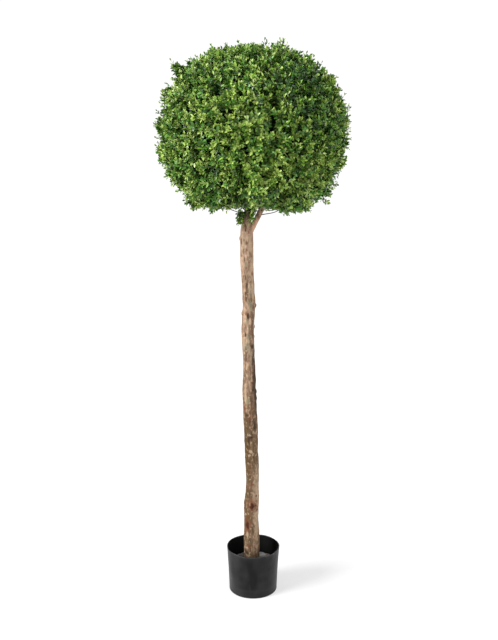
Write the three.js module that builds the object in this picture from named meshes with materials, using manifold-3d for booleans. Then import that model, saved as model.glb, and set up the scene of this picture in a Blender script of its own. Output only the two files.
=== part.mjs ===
// Potted boxwood ball standard: a clipped ball of small leaves on one bare, slightly leaning trunk.
// The trunk stands in a grey fill in a small dark pot.
// Units are millimetres, +Z is up and the front faces -Y.
// The origin is the centre of the pot's flat underside.
import * as THREE from 'three';
import { mergeVertices } from 'three/addons/utils/BufferGeometryUtils.js';
import Module from 'manifold-3d';

const wasm = await Module();
wasm.setup();

// Gap kept between solids that touch on the real plant
const GAP = 0.4;

// Pot: a thin shell that widens towards a plain rim, faster near the top
const POT = {
  height: 124.5,
  rimRadius: 73.7,
  baseRadius: 67.2,
  flare: 1.45,
  wall: 2.2,
  floor: 3,
  footRounding: 3.5,
  rimRounding: 0.8,
  rows: 5,
  sides: 48,
};

// Height of the fill's surface, which is ground level for the trunk
const GROUND = 78;

// Middle of the crown, to the right of the pot's
const CROWN_X = 0.6;

// Trunk and its leader, which goes on from the fork to a tip inside the crown
const TRUNK = { forkHeight: 1030, tipHeight: 1225, sway: 2.5, sides: 12, rows: 42 };

// Where the trunk's centre line stands to the right of the pot's, by height
const TRUNK_PATH = [
  [GROUND, -3.5],
  [215, -5],
  [325, -1.6],
  [455, -6.3],
  [600, -10.5],
  [745, -14],
  [825, -11.8],
  [950, -17.6],
  [TRUNK.forkHeight, -18],
  [1140, CROWN_X],
];

// Trunk radius by height: root flare, waist, slight swelling, even shaft, fork and leader
const TRUNK_RADII = [
  [GROUND, 22.5],
  [GROUND + 16, 20.9],
  [180, 21],
  [240, 20.5],
  [300, 18.9],
  [365, 18.4],
  [470, 20.2],
  [545, 19.5],
  [630, 17.4],
  [1000, 16.9],
  [1035, 14],
  [1062, 9.2],
  [1130, 7.5],
  [TRUNK.tipHeight, 5],
];

// Limbs that leave the trunk: cubic curves by their four control points, from root to tip
const LIMBS = [
  {
    name: 'bough_right',
    carrier: 'trunk',
    points: [[-10, 0, 1008], [2, 0, 1026], [14, 0, 1050], [27, 0, 1080]],
    rootRadius: 7.4,
    tipRadius: 6.3,
    sides: 8,
  },
  {
    name: 'shoot_right_low',
    carrier: 'bough_right',
    points: [[14, -1, 1051], [40, -6, 1058], [66, -8, 1053], [82, -9, 1082]],
    rootRadius: 1.4,
    tipRadius: 1,
    sides: 6,
  },
  {
    name: 'shoot_right_high',
    carrier: 'bough_right',
    points: [[20, 1, 1068], [44, 4, 1060], [66, 8, 1060], [84, 10, 1092]],
    rootRadius: 1.4,
    tipRadius: 1,
    sides: 6,
  },
  {
    name: 'shoot_left',
    carrier: 'trunk',
    points: [[-16, 0, 1052], [-36, 2, 1060], [-56, 3, 1060], [-80, 4, 1078]],
    rootRadius: 1.4,
    tipRadius: 1,
    sides: 6,
  },
  {
    name: 'shoot_back_left',
    carrier: 'trunk',
    points: [[-16, 3, 1050], [-26, 22, 1062], [-38, 44, 1060], [-50, 66, 1080]],
    rootRadius: 1.4,
    tipRadius: 1,
    sides: 6,
  },
  {
    name: 'shoot_back_right',
    carrier: 'bough_right',
    points: [[10, 2, 1048], [16, 24, 1062], [28, 46, 1058], [38, 70, 1082]],
    rootRadius: 1.4,
    tipRadius: 1,
    sides: 6,
  },
];

// Crown: a clipped ball, a little lower than wide. Its flat underside has a shallow channel from front
// to back, above the fork
const CROWN = {
  centre: new THREE.Vector3(CROWN_X, 0, 1258),
  radiusAcross: 250,
  radiusUp: 232,
  floorDepth: 207,
  floorCorner: 16,
  channelDepth: 0.09,
  channelAt: -0.07,
  channelWidth: 0.46,
  coreShare: 0.63,
  coreDetail: 4,
  stemLength: 120,
  stemRadius: 6,
};

// Low uneven swellings of the clipped surface
const LUMPS = { count: 80, height: 8, width: 0.17, seed: 11 };

// Clumps and single shoots that stand out of the ball, and dents in it. Each is placed by its angle above
// level to the right, in the front view or in that view turned round the trunk.
const STRAYS = [
  { turn: 0, angle: 10, height: 6, width: 0.08 },
  { turn: 0, angle: 36, height: 8, width: 0.22 },
  { turn: 0, angle: 54, height: 9, width: 0.07 },
  { turn: 0, angle: 73, height: 22, width: 0.06 },
  { turn: 0, angle: 83, height: -10, width: 0.1 },
  { turn: 0, angle: 117, height: 8, width: 0.12 },
  { turn: 0, angle: 139, height: 33, width: 0.11 },
  { turn: 0, angle: 155, height: 18, width: 0.08 },
  { turn: 0, angle: 174, height: 14, width: 0.08 },
  { turn: 0, angle: 192, height: 9, width: 0.14 },
  { turn: 0, angle: 228, height: 16, width: 0.09 },
  { turn: 0, angle: 305, height: 14, width: 0.08 },
  { turn: 0, angle: 323, height: 17, width: 0.09 },
  { turn: 0, angle: 343, height: 7, width: 0.07 },
  { turn: 0, angle: 351, height: -6, width: 0.08 },
  { turn: 90, angle: 4, height: 9, width: 0.1 },
  { turn: 90, angle: 38, height: 13, width: 0.08 },
  { turn: 90, angle: 70, height: -6, width: 0.1 },
  { turn: 90, angle: 126, height: 10, width: 0.08 },
  { turn: 90, angle: 177, height: 8, width: 0.1 },
  { turn: 90, angle: 221, height: 9, width: 0.09 },
  { turn: 90, angle: 322, height: 14, width: 0.09 },
];

// Levels of growth: tips spread over the crown, each limb rooted on the nearest one before it
const BRANCHES = { count: 28, seed: 21, wobble: 0.1, rootAt: 0.5, lead: 0.35, share: 0.58 };
const TWIGS = { count: 98, seed: 25, wobble: 0.1, rootAt: 0.8, lead: 0.4 };
const TIP_SHARES = [0.98, 1.04];
const BRANCH_RADIUS = 4;
const TWIG_ROOT_RADIUS = 3.4;
const TWIG_TIP_RADIUS = 2.6;
const TWIG_SIDES = 3;
const TWIG_ROWS = 2;

// Leaves: eight-faced blades in opposite pairs, each pair turned a quarter from the last
const CROWN_LEAF = { length: 56, width: 33, thickness: 2, spacing: 17, pairs: 1 };
const SPRIG_LEAF = { length: 20, width: 11, thickness: 1, spacing: 9, pairs: 2 };
const LEAF_INSET = 2;
const TIP_LEAF_ANGLE = 0.12;
const LOWER_LEAF_ANGLE = 0.85;
const LEAF_CLEARANCE = 2;
const OUTLINE_SLACK = 10;

// Small sprigs of leaves beside the fork, each with the sphere of space that the crown leaves it
const SPRIGS = [
  {
    name: 'sprig_left',
    carrier: 'trunk',
    points: [[-16, -4, 1046], [-30, -14, 1066], [-33, -17, 1054], [-34, -18, 1041]],
  },
  {
    name: 'sprig_fork',
    carrier: 'trunk',
    points: [[-12, -4, 1052], [-6, -20, 1080], [3, -21, 1073], [3, -20, 1058]],
  },
];
const SPRIG_ROOT_RADIUS = 1.6;
const SPRIG_TIP_RADIUS = 1;
const SPRIG_SPACE = 26;

const COLOURS = {
  pot: { color: 0x303032, roughness: 0.6 },
  fill: { color: 0x6f7072, roughness: 0.95 },
  bark: { color: 0x96806a, roughness: 0.9 },
  shoot: { color: 0x4a5038, roughness: 0.8 },
  leaf: { color: 0x5c8c34, roughness: 0.55 },
};

// Edges shorter than this are closed up where solids are joined
const SHORTEST_EDGE = 0.02;

const GOLDEN_ANGLE = Math.PI * (3 - Math.sqrt(5));

// Random numbers from 0 to 1 that are the same on each run
function seededRandom(seed) {
  let state = seed;
  return () => {
    state = (state + 0x6d2b79f5) | 0;
    let mixed = Math.imul(state ^ (state >>> 15), 1 | state);
    mixed = (mixed + Math.imul(mixed ^ (mixed >>> 7), 61 | mixed)) ^ mixed;
    return ((mixed ^ (mixed >>> 14)) >>> 0) / 4294967296;
  };
}

// Directions spread evenly over a sphere by the golden angle, each then moved a little
function spread(count, wobble, random) {
  const directions = [];
  for (let i = 0; i < count; i += 1) {
    const z = 1 - (2 * i + 1) / count;
    const ring = Math.sqrt(1 - z * z);
    const turn = GOLDEN_ANGLE * i;
    const direction = new THREE.Vector3(ring * Math.cos(turn), ring * Math.sin(turn), z);
    direction.x += wobble * (random() - 0.5);
    direction.y += wobble * (random() - 0.5);
    direction.z += wobble * (random() - 0.5);
    directions.push(direction.normalize());
  }
  return directions;
}

// A direction by its angle above level to the right, in the front view turned round the trunk
function aimed(turn, angle) {
  const up = THREE.MathUtils.degToRad(angle);
  const round = THREE.MathUtils.degToRad(turn);
  return new THREE.Vector3(Math.cos(up) * Math.cos(round), Math.cos(up) * Math.sin(round), Math.sin(up));
}

function makeSwellings() {
  const random = seededRandom(LUMPS.seed);
  const lumps = spread(LUMPS.count, 0.2, random).map((direction) => ({
    direction,
    height: LUMPS.height * (2 * random() - 1),
    width: LUMPS.width,
  }));
  const strays = STRAYS.map(({ turn, angle, height, width }) => ({
    direction: aimed(turn, angle),
    height,
    width,
  }));
  return [...lumps, ...strays];
}

const SWELLINGS = makeSwellings();

// Distance from the crown's centre to its clipped outline in one direction
function reach(direction) {
  const level = Math.hypot(direction.x, direction.y);
  let distance = 1 / Math.hypot(level / CROWN.radiusAcross, direction.z / CROWN.radiusUp);
  if (direction.z < 0) {
    const aside = direction.x / -direction.z - CROWN.channelAt;
    const channel = CROWN.channelDepth * Math.exp(-((aside / CROWN.channelWidth) ** 8));
    const floor = (CROWN.floorDepth * (1 - channel)) / -direction.z;
    const corner = CROWN.floorCorner;
    distance = (distance ** -corner + floor ** -corner) ** (-1 / corner);
  }
  for (const swelling of SWELLINGS) {
    const apart = 1 - direction.dot(swelling.direction);
    distance += swelling.height * Math.exp((-2 * apart) / swelling.width ** 2);
  }
  return distance;
}

// A value from a list of [place, value] pairs, eased between neighbours
function valueAt(table, place) {
  let index = 1;
  while (index < table.length - 1 && table[index][0] < place) {
    index += 1;
  }
  const [start, startValue] = table[index - 1];
  const [end, endValue] = table[index];
  const eased = THREE.MathUtils.smoothstep(place, start, end);
  return THREE.MathUtils.lerp(startValue, endValue, eased);
}

// Centre line of the trunk and its leader, by height
class TrunkCurve extends THREE.Curve {
  constructor(top = TRUNK.tipHeight) {
    super();
    this.top = top;
  }

  getPoint(share, target = new THREE.Vector3()) {
    const z = THREE.MathUtils.lerp(GROUND + GAP, this.top, share);
    const along = Math.min((z - GROUND) / (TRUNK.forkHeight - GROUND), 1);
    const y = TRUNK.sway * Math.sin(2 * Math.PI * along);
    return target.set(valueAt(TRUNK_PATH, z), y, z);
  }
}

// A round limb along a curve. Level rings give it flat, level ends.
function limbGeometry(curve, radiusAt, sides, rows, levelRings = false) {
  const geometry = new THREE.CylinderGeometry(1, 1, 1, sides, rows);
  const position = geometry.getAttribute('position');
  const frames = curve.computeFrenetFrames(rows, false);
  const local = new THREE.Vector3();
  for (let i = 0; i < position.count; i += 1) {
    local.fromBufferAttribute(position, i);
    const row = Math.round((local.y + 0.5) * rows);
    const centre = curve.getPoint(row / rows);
    const radius = radiusAt(row / rows, centre);
    const across = levelRings ? new THREE.Vector3(1, 0, 0) : frames.normals[row];
    const away = levelRings ? new THREE.Vector3(0, -1, 0) : frames.binormals[row].clone().negate();
    centre.addScaledVector(across, local.x * radius);
    centre.addScaledVector(away, local.z * radius);
    position.setXYZ(i, centre.x, centre.y, centre.z);
  }
  return geometry;
}

// A closed geometry as a solid that can be joined and cut
function toSolid(geometry) {
  const bare = geometry.index ? geometry.clone() : geometry;
  bare.deleteAttribute('normal');
  bare.deleteAttribute('uv');
  const merged = mergeVertices(bare, 1e-4);
  return new wasm.Manifold(
    new wasm.Mesh({
      numProp: 3,
      vertProperties: new Float32Array(merged.getAttribute('position').array),
      triVerts: new Uint32Array(merged.index.array),
      tolerance: SHORTEST_EDGE,
    }),
  );
}

function toGeometry(solid) {
  const mesh = solid.getMesh();
  const geometry = new THREE.BufferGeometry();
  geometry.setAttribute('position', new THREE.BufferAttribute(mesh.vertProperties, 3));
  geometry.setIndex(new THREE.BufferAttribute(mesh.triVerts, 1));
  geometry.computeVertexNormals();
  return geometry;
}

// The largest body of a solid, without loose scraps and sealed hollows
function largestBody(solid) {
  return solid.decompose().reduce((best, body) => (body.volume() > best.volume() ? body : best));
}

function makeMesh(name, geometry, finish) {
  const material = new THREE.MeshStandardMaterial({ ...finish, metalness: 0, flatShading: true });
  const mesh = new THREE.Mesh(geometry, material);
  mesh.name = name;
  return mesh;
}

function turnedGeometry(profile) {
  const points = profile.map(([radius, height]) => new THREE.Vector2(radius, height));
  return new THREE.LatheGeometry(points, POT.sides).rotateX(Math.PI / 2);
}

// Radius of the pot's outside at a height
function potRadius(height) {
  const share = (height / POT.height) ** POT.flare;
  return THREE.MathUtils.lerp(POT.baseRadius, POT.rimRadius, share);
}

// Points along the pot's wall between two heights, set in from its outside
function wallPoints(from, to, inset) {
  const points = [];
  for (let i = 0; i <= POT.rows; i += 1) {
    const height = THREE.MathUtils.lerp(from, to, i / POT.rows);
    points.push([potRadius(height) - inset, height]);
  }
  return points;
}

function makePot() {
  const profile = [[0, 0]];
  const steps = 4;
  for (let i = 0; i < steps; i += 1) {
    const turn = (Math.PI / 2) * (i / steps);
    const radius = potRadius(0) - POT.footRounding * (1 - Math.sin(turn));
    profile.push([radius, POT.footRounding * (1 - Math.cos(turn))]);
  }
  profile.push(
    ...wallPoints(POT.footRounding, POT.height - POT.rimRounding, 0),
    [POT.rimRadius - POT.rimRounding, POT.height],
    ...wallPoints(POT.height, POT.floor, POT.wall),
    [0, POT.floor],
  );
  return makeMesh('pot', turnedGeometry(profile), COLOURS.pot);
}

function makeFill() {
  const base = POT.floor + GAP;
  const profile = [[0, base], ...wallPoints(base, GROUND, POT.wall + 1.5 * GAP), [0, GROUND]];
  return makeMesh('fill', turnedGeometry(profile), COLOURS.fill);
}

function trunkGeometry(extra) {
  const curve = new TrunkCurve(TRUNK.tipHeight + extra);
  const radiusAt = (share, centre) => valueAt(TRUNK_RADII, centre.z) + extra;
  return limbGeometry(curve, radiusAt, TRUNK.sides, TRUNK.rows, true);
}

function cubicCurve(points) {
  return new THREE.CubicBezierCurve3(...points.map((point) => new THREE.Vector3(...point)));
}

function taper(root, tip, extra = 0) {
  return (share) => THREE.MathUtils.lerp(root, tip, share) + extra;
}

// Everything that foliage keeps clear of, as a curve with its radius
const obstacles = [
  {
    curve: new TrunkCurve(),
    radiusAt: (share) => valueAt(TRUNK_RADII, new TrunkCurve().getPoint(share).z),
  },
];

// Solids that are cut out of what grows from them, by node name
const swollen = { trunk: toSolid(trunkGeometry(GAP)) };

function makeLimb({ name, carrier, points, rootRadius, tipRadius, sides }) {
  const curve = cubicCurve(points);
  const rows = 8;
  const solid = toSolid(limbGeometry(curve, taper(rootRadius, tipRadius), sides, rows));
  swollen[name] = toSolid(limbGeometry(curve, taper(rootRadius, tipRadius, GAP), sides, rows));
  obstacles.push({ curve, radiusAt: taper(rootRadius, tipRadius) });
  let cut = solid.subtract(swollen[carrier]);
  if (carrier !== 'trunk') {
    cut = cut.subtract(swollen.trunk);
  }
  const finish = name.startsWith('bough') ? COLOURS.bark : COLOURS.shoot;
  return makeMesh(name, toGeometry(largestBody(cut)), finish);
}

// Points along an obstacle's centre line, for measuring how near something is
function obstaclePoints() {
  const steps = 60;
  const points = [];
  for (const { curve, radiusAt } of obstacles) {
    for (let i = 0; i <= steps; i += 1) {
      points.push({ centre: curve.getPoint(i / steps), radius: radiusAt(i / steps) });
    }
  }
  return points;
}

function isClear(point, nearby, clearance) {
  return nearby.every(({ centre, radius }) => point.distanceTo(centre) > radius + clearance);
}

// One eight-faced leaf from its root, with its blade facing along the twig
function leafSolid(root, direction, across, leaf) {
  const face = new THREE.Vector3().crossVectors(direction, across);
  const geometry = new THREE.OctahedronGeometry(1);
  geometry.scale(leaf.length / 2, leaf.width / 2, leaf.thickness / 2);
  geometry.translate(leaf.length / 2, 0, 0);
  const placing = new THREE.Matrix4().makeBasis(direction, across, face).setPosition(root);
  return toSolid(geometry.applyMatrix4(placing));
}

// A leaf at a twig's tip and opposite pairs below it, without those that leave the space
function leavesOn(curve, leaf, turn, fits) {
  const length = curve.getLength();
  const leaves = [];
  for (let pair = 0; pair <= leaf.pairs; pair += 1) {
    const share = Math.max(1 - (pair * leaf.spacing + LEAF_INSET) / length, 0);
    const root = curve.getPointAt(share);
    const tangent = curve.getTangentAt(share);
    const side = new THREE.Vector3().crossVectors(tangent, new THREE.Vector3(0, 0, 1)).normalize();
    side.applyAxisAngle(tangent, turn + (pair * Math.PI) / 2);
    const across = new THREE.Vector3().crossVectors(tangent, side);
    const angle = pair === 0 ? TIP_LEAF_ANGLE : LOWER_LEAF_ANGLE;
    for (const hand of pair === 0 ? [1] : [1, -1]) {
      const direction = tangent.clone().multiplyScalar(Math.cos(angle));
      direction.addScaledVector(side, hand * Math.sin(angle));
      const width = across.clone().multiplyScalar(hand);
      if (fits(root, direction, width, leaf)) {
        leaves.push(leafSolid(root, direction, width, leaf));
      }
    }
  }
  return leaves;
}

// Points of a leaf's outline, for testing that it fits
function leafPoints(root, direction, across, leaf) {
  const tip = root.clone().addScaledVector(direction, leaf.length);
  const middle = root.clone().addScaledVector(direction, leaf.length / 2);
  const left = middle.clone().addScaledVector(across, leaf.width / 2);
  const right = middle.clone().addScaledVector(across, -leaf.width / 2);
  return [tip, middle, left, right];
}

function crownPoint(direction, distance) {
  return CROWN.centre.clone().addScaledVector(direction, distance);
}

function insideCrown(point) {
  const offset = point.clone().sub(CROWN.centre);
  const distance = offset.length();
  return distance <= reach(offset.normalize()) + OUTLINE_SLACK;
}

// The limb of a level whose tip points most nearly in a direction
function nearestLimb(limbs, direction) {
  return limbs.reduce((best, limb) =>
    limb.direction.dot(direction) > best.direction.dot(direction) ? limb : best,
  );
}

// A limb that leaves its parent along it and bends out to its own tip
function branchOff(parentCurve, rootAt, lead, tip) {
  const root = parentCurve.getPoint(rootAt);
  const bend = parentCurve.getTangent(rootAt).multiplyScalar(lead * root.distanceTo(tip));
  return new THREE.QuadraticBezierCurve3(root, bend.add(root), tip);
}

function growBranches(stem) {
  const random = seededRandom(BRANCHES.seed);
  return spread(BRANCHES.count, BRANCHES.wobble, random).map((direction) => {
    const tip = crownPoint(direction, reach(direction) * BRANCHES.share);
    const rootAt = BRANCHES.rootAt * (1 + direction.z);
    return { direction, curve: branchOff(stem, rootAt, BRANCHES.lead, tip) };
  });
}

function growTwigs(branches) {
  const random = seededRandom(TWIGS.seed);
  const tipGap = CROWN_LEAF.length * Math.cos(TIP_LEAF_ANGLE) - LEAF_INSET;
  const directions = spread(TWIGS.count, TWIGS.wobble, random);
  const shares = directions.map(() => THREE.MathUtils.lerp(...TIP_SHARES, random()));
  for (const { turn, angle, height } of STRAYS) {
    if (height > 0) {
      directions.push(aimed(turn, angle));
      shares.push(1);
    }
  }
  return directions.map((direction, i) => {
    const tip = crownPoint(direction, reach(direction) * shares[i] - tipGap);
    const parent = nearestLimb(branches, direction);
    const curve = branchOff(parent.curve, TWIGS.rootAt, TWIGS.lead, tip);
    return { direction, curve, turn: random() * Math.PI };
  });
}

// The dense inside of the ball, in the crown's own shape
function coreGeometry() {
  const geometry = new THREE.IcosahedronGeometry(1, CROWN.coreDetail);
  const position = geometry.getAttribute('position');
  const direction = new THREE.Vector3();
  for (let i = 0; i < position.count; i += 1) {
    direction.fromBufferAttribute(position, i).normalize();
    const point = crownPoint(direction, reach(direction) * CROWN.coreShare);
    position.setXYZ(i, point.x, point.y, point.z);
  }
  return geometry;
}

function makeCrown(reserved) {
  const nearby = [...obstaclePoints(), ...reserved];
  const foot = new TrunkCurve().getPoint(1);
  foot.z += GAP;
  const stem = new THREE.LineCurve3(foot, foot.clone().setZ(foot.z + CROWN.stemLength));
  const branches = growBranches(stem);
  const twigs = growTwigs(branches).filter(({ curve }) =>
    [0.6, 0.8, 1].every((share) => isClear(curve.getPoint(share), nearby, 4 * LEAF_CLEARANCE)),
  );
  const fits = (root, direction, across, leaf) =>
    leafPoints(root, direction, across, leaf).every(
      (point) => insideCrown(point) && isClear(point, nearby, LEAF_CLEARANCE),
    );
  const solids = [
    toSolid(coreGeometry()),
    toSolid(limbGeometry(stem, taper(CROWN.stemRadius, CROWN.stemRadius), 6, 1)),
  ];
  for (const { curve } of branches) {
    solids.push(toSolid(limbGeometry(curve, taper(BRANCH_RADIUS, BRANCH_RADIUS), 4, 3)));
  }
  for (const { curve, turn } of twigs) {
    const radiusAt = taper(TWIG_ROOT_RADIUS, TWIG_TIP_RADIUS);
    solids.push(toSolid(limbGeometry(curve, radiusAt, TWIG_SIDES, TWIG_ROWS)));
    solids.push(...leavesOn(curve, CROWN_LEAF, turn, fits));
  }
  let crown = wasm.Manifold.union(solids);
  for (const limb of Object.values(swollen)) {
    crown = crown.subtract(limb);
  }
  return makeMesh('crown', toGeometry(largestBody(crown)), COLOURS.leaf);
}

function makeSprig({ name, points }, turn) {
  const nearby = obstaclePoints();
  const curve = cubicCurve(points);
  const fits = (root, direction, across, leaf) =>
    leafPoints(root, direction, across, leaf).every((point) => isClear(point, nearby, 1));
  const stem = limbGeometry(curve, taper(SPRIG_ROOT_RADIUS, SPRIG_TIP_RADIUS), TWIG_SIDES + 1, 5);
  let sprig = wasm.Manifold.union([toSolid(stem), ...leavesOn(curve, SPRIG_LEAF, turn, fits)]);
  for (const limb of Object.values(swollen)) {
    sprig = sprig.subtract(limb);
  }
  return makeMesh(name, toGeometry(largestBody(sprig)), COLOURS.leaf);
}

// Spheres along the sprigs that the crown stays out of
function sprigSpaces() {
  return SPRIGS.flatMap(({ points }) =>
    [0.6, 1].map((share) => ({ centre: cubicCurve(points).getPoint(share), radius: SPRIG_SPACE })),
  );
}

const plant = new THREE.Group();
plant.add(makePot(), makeFill(), makeMesh('trunk', trunkGeometry(0), COLOURS.bark));
plant.add(...LIMBS.map(makeLimb));
plant.add(...SPRIGS.map((sprig, i) => makeSprig(sprig, (i * Math.PI) / 4)));
plant.add(makeCrown(sprigSpaces()));

export default plant;
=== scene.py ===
"""Dresses the solids of a potted boxwood ball standard for a studio picture.

The bare trunk and its bough get a bark relief, and the pot and its fill get worn surfaces. The crown's
solids are replaced by boughs, twigs and leaves, which grow by the same seeded rule as the solids and are
carried to finer shoots. Lengths are in metres, +Z is up and the front faces -Y.
"""

import math

import bpy
import numpy as np
from bpy.props import FloatProperty, FloatVectorProperty, IntProperty, PointerProperty
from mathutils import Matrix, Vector


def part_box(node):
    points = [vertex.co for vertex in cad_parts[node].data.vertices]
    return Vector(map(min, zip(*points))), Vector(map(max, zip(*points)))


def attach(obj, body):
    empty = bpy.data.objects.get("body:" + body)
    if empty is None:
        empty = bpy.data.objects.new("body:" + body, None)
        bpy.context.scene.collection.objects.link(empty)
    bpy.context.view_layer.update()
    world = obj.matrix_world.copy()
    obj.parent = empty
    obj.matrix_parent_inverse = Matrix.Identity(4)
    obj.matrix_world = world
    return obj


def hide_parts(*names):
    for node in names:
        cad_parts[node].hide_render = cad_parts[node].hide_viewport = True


bl_info = {
    "name": "Potted boxwood ball",
    "version": (1, 0, 0),
    "blender": (4, 5, 0),
    "location": "View3D > Sidebar > Boxwood",
    "description": "Dresses the solids of a potted boxwood ball standard",
    "category": "Object",
}

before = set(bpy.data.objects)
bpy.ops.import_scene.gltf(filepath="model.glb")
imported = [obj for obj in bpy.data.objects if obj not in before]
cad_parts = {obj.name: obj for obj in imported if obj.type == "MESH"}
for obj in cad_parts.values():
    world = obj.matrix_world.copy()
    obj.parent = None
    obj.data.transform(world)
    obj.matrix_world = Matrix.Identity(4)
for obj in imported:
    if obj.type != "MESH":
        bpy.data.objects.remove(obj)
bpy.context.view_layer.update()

BODY = "root"
MM = 0.001
RIGHT, BACK, UP = np.eye(3)

# Sizes that the solids share
POT_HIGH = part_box("pot")[1]
POT_HEIGHT = POT_HIGH.z
POT_RIM_RADIUS = POT_HIGH.x
POT_BASE_RADIUS = 0.0672
POT_FLARE = 1.45
POT_WALL = 0.002
POT_FOOT_ROUNDING = 0.0035
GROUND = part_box("fill")[1].z
TRUNK_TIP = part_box("trunk")[1].z
FORK_HEIGHT = 1.030
TRUNK_SWAY = 0.0025
CROWN_X = 0.0006

# Where the trunk's centre line stands to the right of the pot's, by height
TRUNK_PATH = (
    (GROUND, -0.0035),
    (0.215, -0.0050),
    (0.325, -0.0016),
    (0.455, -0.0063),
    (0.600, -0.0105),
    (0.745, -0.0140),
    (0.825, -0.0118),
    (0.950, -0.0176),
    (FORK_HEIGHT, -0.0180),
    (1.140, CROWN_X),
)

# Trunk radius by height: root flare, waist above the kink, swelling, even shaft, fork and leader
TRUNK_RADII = (
    (GROUND, 0.0225),
    (GROUND + 0.016, 0.0208),
    (0.180, 0.0209),
    (0.240, 0.0204),
    (0.300, 0.0188),
    (0.365, 0.0183),
    (0.470, 0.0201),
    (0.545, 0.0194),
    (0.630, 0.0173),
    (1.005, 0.0168),
    (1.035, 0.014),
    (1.062, 0.0092),
    (1.130, 0.0075),
    (TRUNK_TIP, 0.005),
)

# Limbs that leave the trunk, by the four control points of their cubic curves in millimetres
BOUGH_RIGHT = ((-10, 0, 1008), (2, 0, 1026), (14, 0, 1050), (27, 0, 1080))
SHOOTS = {
    "shoot_right_low": ((14, -1, 1051), (40, -6, 1058), (66, -8, 1053), (82, -9, 1082)),
    "shoot_right_high": ((20, 1, 1068), (44, 4, 1060), (66, 8, 1060), (84, 10, 1092)),
    "shoot_left": ((-16, 0, 1052), (-36, 2, 1060), (-56, 3, 1060), (-80, 4, 1078)),
    "shoot_back_left": ((-16, 3, 1050), (-26, 22, 1062), (-38, 44, 1060), (-50, 66, 1080)),
    "shoot_back_right": ((10, 2, 1048), (16, 24, 1062), (28, 46, 1058), (38, 70, 1082)),
}
SPRIGS = {
    "sprig_left": ((-16, -4, 1046), (-30, -14, 1066), (-33, -17, 1054), (-34, -18, 1041)),
    "sprig_fork": ((-12, -4, 1052), (-6, -20, 1080), (3, -21, 1073), (3, -20, 1058)),
}

# Radii of the bough and the thin shoots: at the root, how much less at the tip, and how much more where
# they swell
BOUGH_RADIUS = 0.0074
BOUGH_TAPER = 0.0011
BOUGH_SWELLING = 0.003
SHOOT_RADIUS = 0.00125
SHOOT_TAPER = 0.0004
SHOOT_JOINT = 0.0004

# The crown: a clipped ball. Its flat underside has a shallow channel from front to back, above the fork
CROWN_CENTRE = np.array((CROWN_X, 0.0, 1.258))
CROWN_ACROSS = 0.250
CROWN_UP = 0.232
FLOOR_DEPTH = 0.207
FLOOR_CORNER = 16
CHANNEL_DEPTH = 0.09
CHANNEL_AT = -0.07
CHANNEL_WIDTH = 0.46
CHANNEL_EDGE = 8
STEM_LENGTH = 0.120
LUMP_COUNT = 80
LUMP_HEIGHT = 0.008
LUMP_WIDTH = 0.17
LUMP_WOBBLE = 0.2
LUMP_SEED = 11

# Clumps and single shoots that stand out of the ball, and dents in it: the turn of the front view round the
# trunk, the angle above level to the right in that view, how far it stands out, and its width
STRAYS = (
    (0, 10, 0.006, 0.08),
    (0, 36, 0.008, 0.22),
    (0, 54, 0.009, 0.07),
    (0, 73, 0.022, 0.06),
    (0, 83, -0.010, 0.10),
    (0, 117, 0.008, 0.12),
    (0, 139, 0.033, 0.11),
    (0, 155, 0.018, 0.08),
    (0, 174, 0.014, 0.08),
    (0, 192, 0.009, 0.14),
    (0, 228, 0.016, 0.09),
    (0, 305, 0.014, 0.08),
    (0, 323, 0.017, 0.09),
    (0, 343, 0.007, 0.07),
    (0, 351, -0.006, 0.08),
    (90, 4, 0.009, 0.10),
    (90, 38, 0.013, 0.08),
    (90, 70, -0.006, 0.10),
    (90, 126, 0.010, 0.08),
    (90, 177, 0.008, 0.10),
    (90, 221, 0.009, 0.09),
    (90, 322, 0.014, 0.09),
)

# Places where thin single shoots stand out: turn, angle, and share of the reach there
SPIKES = (
    (0, 1, 1.05),
    (0, 22, 1.02),
    (0, 66, 1.04),
    (0, 76, 1.04),
    (0, 142, 1.02),
    (0, 163, 1.03),
    (0, 210, 1.08),
    (0, 222, 1.06),
    (0, 240, 1.08),
    (0, 300, 1.05),
    (0, 311, 1.05),
    (0, 318, 1.11),
    (0, 329, 1.08),
    (0, 337, 1.05),
    (50, 30, 1.06),
    (50, 140, 1.07),
    (50, 320, 1.08),
    (90, 24, 1.05),
    (90, 62, 1.05),
    (90, 112, 1.05),
    (90, 150, 1.06),
    (90, 208, 1.07),
    (90, 334, 1.08),
    (130, 40, 1.06),
    (130, 145, 1.06),
    (130, 215, 1.08),
)

# Levels of growth, each rooted on the nearest limb of the level before
BRANCH_COUNT = 28
BRANCH_SEED = 21
BRANCH_WOBBLE = 0.1
BRANCH_ROOT_AT = 0.5
BRANCH_LEAD = 0.35
BRANCH_SHARE = 0.58
TWIG_COUNT = 98
TWIG_SEED = 25
TWIG_WOBBLE = 0.1
TWIG_ROOT_AT = 0.8
TWIG_LEAD = 0.4
TIP_SHARES = (0.98, 1.04)
SOLID_LEAF_REACH = 0.0536

# Finer growth: tufts of sprigs that lean together and stand out or lie back, and more sprigs on each stray
# and spike
TUFT_COUNT = 1500
TUFT_SEED = 63
TUFT_WOBBLE = 0.12
TUFT_DEPTHS = (-0.072, 0.0, 0.014)
TUFT_PULL = 0.38
STRAY_SPRIGS = 13
STRAY_SHARES = (0.97, 1.03)
STRAY_SCATTER = 0.045
SPIKE_SPRIGS = 3
SPIKE_SCATTER = 0.018
SPIKE_BACK = 0.05

# Sprigs: where along a twig they leave it, how much they turn from it, set off along it and droop, and how
# much of a leaf's length stays free at their tips
SPRIG_WOBBLE = 0.09
SPRIG_ROOTS = (0.25, 0.9)
SPRIG_SCATTER = 0.25
SPRIG_LEAD = 0.4
SPRIG_DROOP = 0.28
LEAF_ROOM = 0.75

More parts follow.
